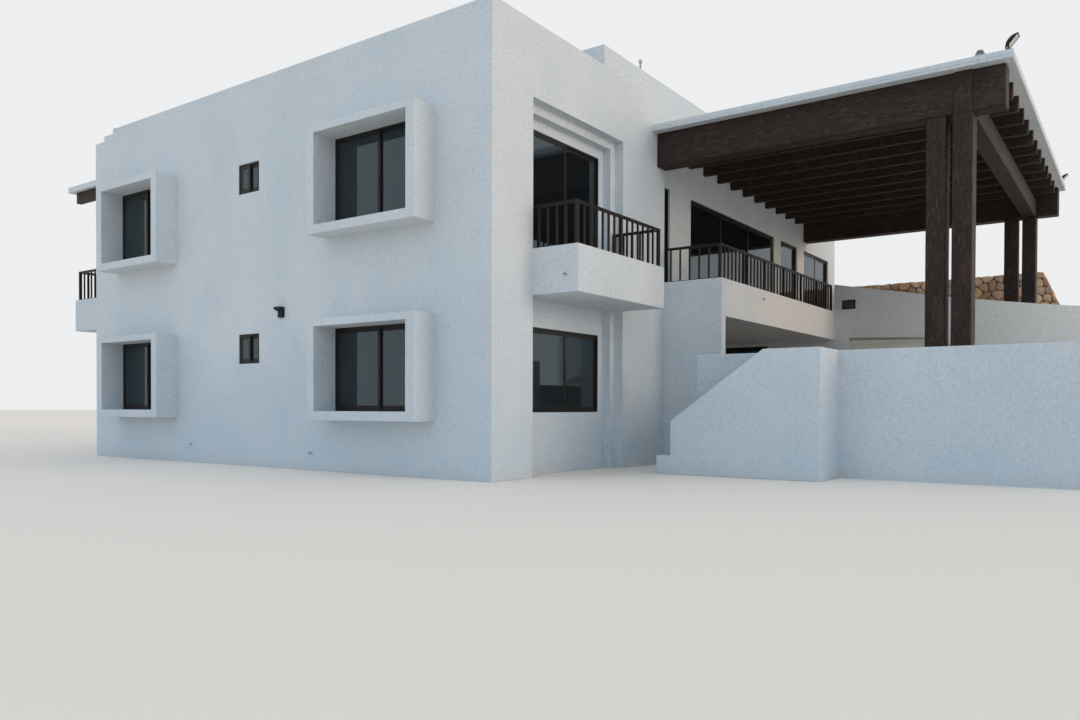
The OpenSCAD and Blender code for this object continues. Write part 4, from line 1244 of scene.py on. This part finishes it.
# Floodlights: finned die-cast heads in a yoke, leaning out over the slab's edge
floodlight = {
    "lean": 41,             # degrees from upright, as in the CAD node
    "wide": 0.200,
    "tall": 0.265,
    "thick": 0.066,
    "footBack": 0.152,      # from the node's outer edge to its foot
    "headBack": 0.022,      # from its foot to the head's lower edge
    "lift": 0.034,
    "bezel": 0.016,
    "bezelDeep": 0.012,
    "lens": (0.004, 0.008),     # its face and back behind the bezel's face
    "lap": 0.002,
    "shellInset": (0.006, 0.003),        # of the back's shell, at its sides and its ends
    "fins": 9,
    "finInset": (0.016, 0.004),
    "finThick": 0.004,
    "finTall": 0.008,
    "arm": (0.006, 0.026),
    "armTop": 0.016,        # how far the arm runs past the pivot
    "pivot": 0.085,
    "pin": (0.009, 0.004, 0.007),        # radius, and reach inside and outside the arm
    "pinSides": 12,
    "clear": 0.001,         # between head and arm
    "pad": (0.024, 0.020, 0.010),        # half its width, half its depth and its height
    "bolt": (0.006, 0.006, 0.014),       # radius, height and distance from the middle
    "boltSides": 6,
    "steps": 10,
    "bevel": 0.0018,
}


def arcProfile(depth, tall, base, inset):
    # a shallow arc over tall, less an inset at each end, from base out to depth, as (outwards, up) pairs
    tall, steps = tall - 2 * inset, floodlight["steps"]
    rise = depth - base
    radius = ((tall / 2) ** 2 + rise ** 2) / (2 * rise)
    points = []
    for k in range(steps + 1):
        up = tall * k / steps
        away = math.sqrt(max(radius ** 2 - (up - tall / 2) ** 2, 0))
        points.append((base + rise - radius + away, up + inset))
    return points


def addFloodlight(bm, box):
    look = floodlight
    low, high = box
    x = (low.x + high.x) / 2
    lean = math.radians(look["lean"])
    backwards = Vector((0, math.cos(lean), math.sin(lean)))
    upwards = Vector((0, -math.sin(lean), math.cos(lean)))
    foot = Vector((x, low.y + look["footBack"], low.z))
    origin = foot + Vector((0, look["headBack"], look["lift"]))
    place = lambda p: origin + Vector((p[0], 0, 0)) + backwards * p[1] + upwards * p[2]
    half, tall, deep, lap = look["wide"] / 2, look["tall"], look["bezelDeep"], look["lap"]
    addRing(bm, (-half, 0, 0), (half, deep, tall), look["bezel"], place)
    rim, (lensFace, lensBack) = look["bezel"] - lap, look["lens"]
    addBox(bm, (-half + rim, lensFace, rim), (half - rim, lensBack, tall - rim), place, 1)
    shellSide, shellEnd = look["shellInset"]
    shell = arcProfile(look["thick"] - look["finTall"], tall, deep - lap / 2, shellEnd)
    addProfile(bm, shell, -half + shellSide, half - shellSide, place)
    finSide, finEnd = look["finInset"]
    fin, thick = arcProfile(look["thick"], tall, deep - lap / 2, finEnd), look["finThick"]
    for k in range(look["fins"]):
        middle = -half + finSide + (look["wide"] - 2 * finSide) * k / (look["fins"] - 1)
        addProfile(bm, fin, middle - thick / 2, middle + thick / 2, place)
    hub = place((0, look["headBack"], look["pivot"]))
    armThick, armWide = look["arm"]
    pinRadius, pinIn, pinOut = look["pin"]
    padX, padY, padZ = look["pad"]
    boltRadius, boltTall, boltOut = look["bolt"]
    lowZ, inner = low.z + lap / 2, half + look["clear"]
    for side in (-1, 1):
        near, far = sorted((x + side * inner, x + side * (inner + armThick)))
        addBox(bm, (near, hub.y - armWide / 2, lowZ), (far, hub.y + armWide / 2, hub.z + look["armTop"]))
        addTube(bm, (x + side * (inner - pinIn), hub.y, hub.z),
                (x + side * (inner + armThick + pinOut), hub.y, hub.z), pinRadius, look["pinSides"])
        spot = Vector((x + side * boltOut, hub.y, low.z + padZ - lap / 2))
        addTube(bm, spot, spot + Vector((0, 0, boltTall)), boltRadius, look["boltSides"])
    outer = inner + armThick
    addBox(bm, (x - outer, hub.y - armWide / 2, low.z), (x + outer, hub.y + armWide / 2, low.z + armThick))
    addBox(bm, (x - padX, hub.y - padY, low.z), (x + padX, hub.y + padY, low.z + padZ))


def buildFloodlights():
    bm = bmesh.new()
    for box in solidsOf("floodlights"):
        addFloodlight(bm, box)
    addPiece("floodlight_heads", bm, ["lampMetal", "lampGlass"], ["floodlights"], floodlight["bevel"], 1)


buildFloodlights()
print("floodlights: 2 finned heads")


# Vent pipe, vent hood, louvre and spouts: the node's own form with thin edges, and painted shade in the
# spouts' bores
ventWork = {
    "pipeFrom": 1.0,         # the pipe is taller than this, the grille and the hood than the next two
    "grilleFrom": 0.15,
    "hoodFrom": 0.07,
    "bevel": 0.0025,
    "boreReach": 0.016,      # faces nearer than this to a spout's middle take near-black painted shade, for its bore
    "grilleFace": 0.006,     # faces nearer than this to the grille's own face are dark
    "near": 0.002,
    "slots": 4,
    "slotFoot": 0.014,
    "slotPitch": 0.015,
    "slotTall": 0.006,
    "slotDeep": 0.004,
    "slotInset": 0.012,
    "lean": 0.25,            # how far the hood narrows to its top, as a share of its width on each side
    "stays": 4,
    "staySides": 6,
    "stay": (0.028, 0.075, 0.022, 0.0025),  # offset, drop below the cap's top, height and radius
}
pipeFinish, darkFinish, louvreFinish, boreShadeFinish = range(4)      # in the order of the piece's finishes


def finishAt(middle, low, high):
    # the finish of a face of the vents' node, by its middle and the box of its solid
    tall = high.z - low.z
    if tall > ventWork["hoodFrom"]:
        isGrille = ventWork["grilleFrom"] < tall < ventWork["pipeFrom"]
        behind = middle.x > low.x + ventWork["grilleFace"]
        return (louvreFinish if behind else darkFinish) if isGrille else pipeFinish
    return boreShadeFinish if (middle - (low + high) / 2).length < ventWork["boreReach"] else pipeFinish


# the hood's slots are near-black strips: painted shade for their openings
def addHoodSlots(bm, low, high):
    look = ventWork
    for k in range(look["slots"]):
        z = low.z + look["slotFoot"] + look["slotPitch"] * k
        lean = look["slotInset"] + (z - low.z) / (high.z - low.z) * look["lean"] * (high.y - low.y)
        addBox(bm, (low.x - look["slotDeep"], low.y + lean, z),
               (low.x + look["slotDeep"], high.y - lean, z + look["slotTall"]), finish=darkFinish)


def addStays(bm, low, high):
    away, drop, tall, radius = ventWork["stay"]
    for k in range(ventWork["stays"]):
        turn = math.pi / 4 + 2 * math.pi * k / ventWork["stays"]
        spot = Vector(((low.x + high.x) / 2 + away * math.cos(turn),
                       (low.y + high.y) / 2 + away * math.sin(turn), high.z - drop))
        addTube(bm, spot, spot + Vector((0, 0, tall)), radius, ventWork["staySides"])


def buildVents():
    look = ventWork
    boxes = solidsOf("vents_and_spouts")
    bm = flatMeshOf("vents_and_spouts")
    for face in bm.faces:
        middle = face.calc_center_median()
        for low, high in boxes:
            if all(low[k] - look["near"] <= middle[k] <= high[k] + look["near"] for k in range(3)):
                face.material_index = finishAt(middle, low, high)
                break
    for low, high in boxes:
        tall = high.z - low.z
        if tall > look["pipeFrom"]:
            addStays(bm, low, high)
        elif look["hoodFrom"] < tall < look["grilleFrom"]:
            addHoodSlots(bm, low, high)
    addPiece("vents_and_pipes", bm, ["greyPipe", "lampMetal", "louvreGrey", "paintedBoreShade"],
             ["vents_and_spouts"], look["bevel"], 1)


buildVents()
print("vents and spouts: fitted")
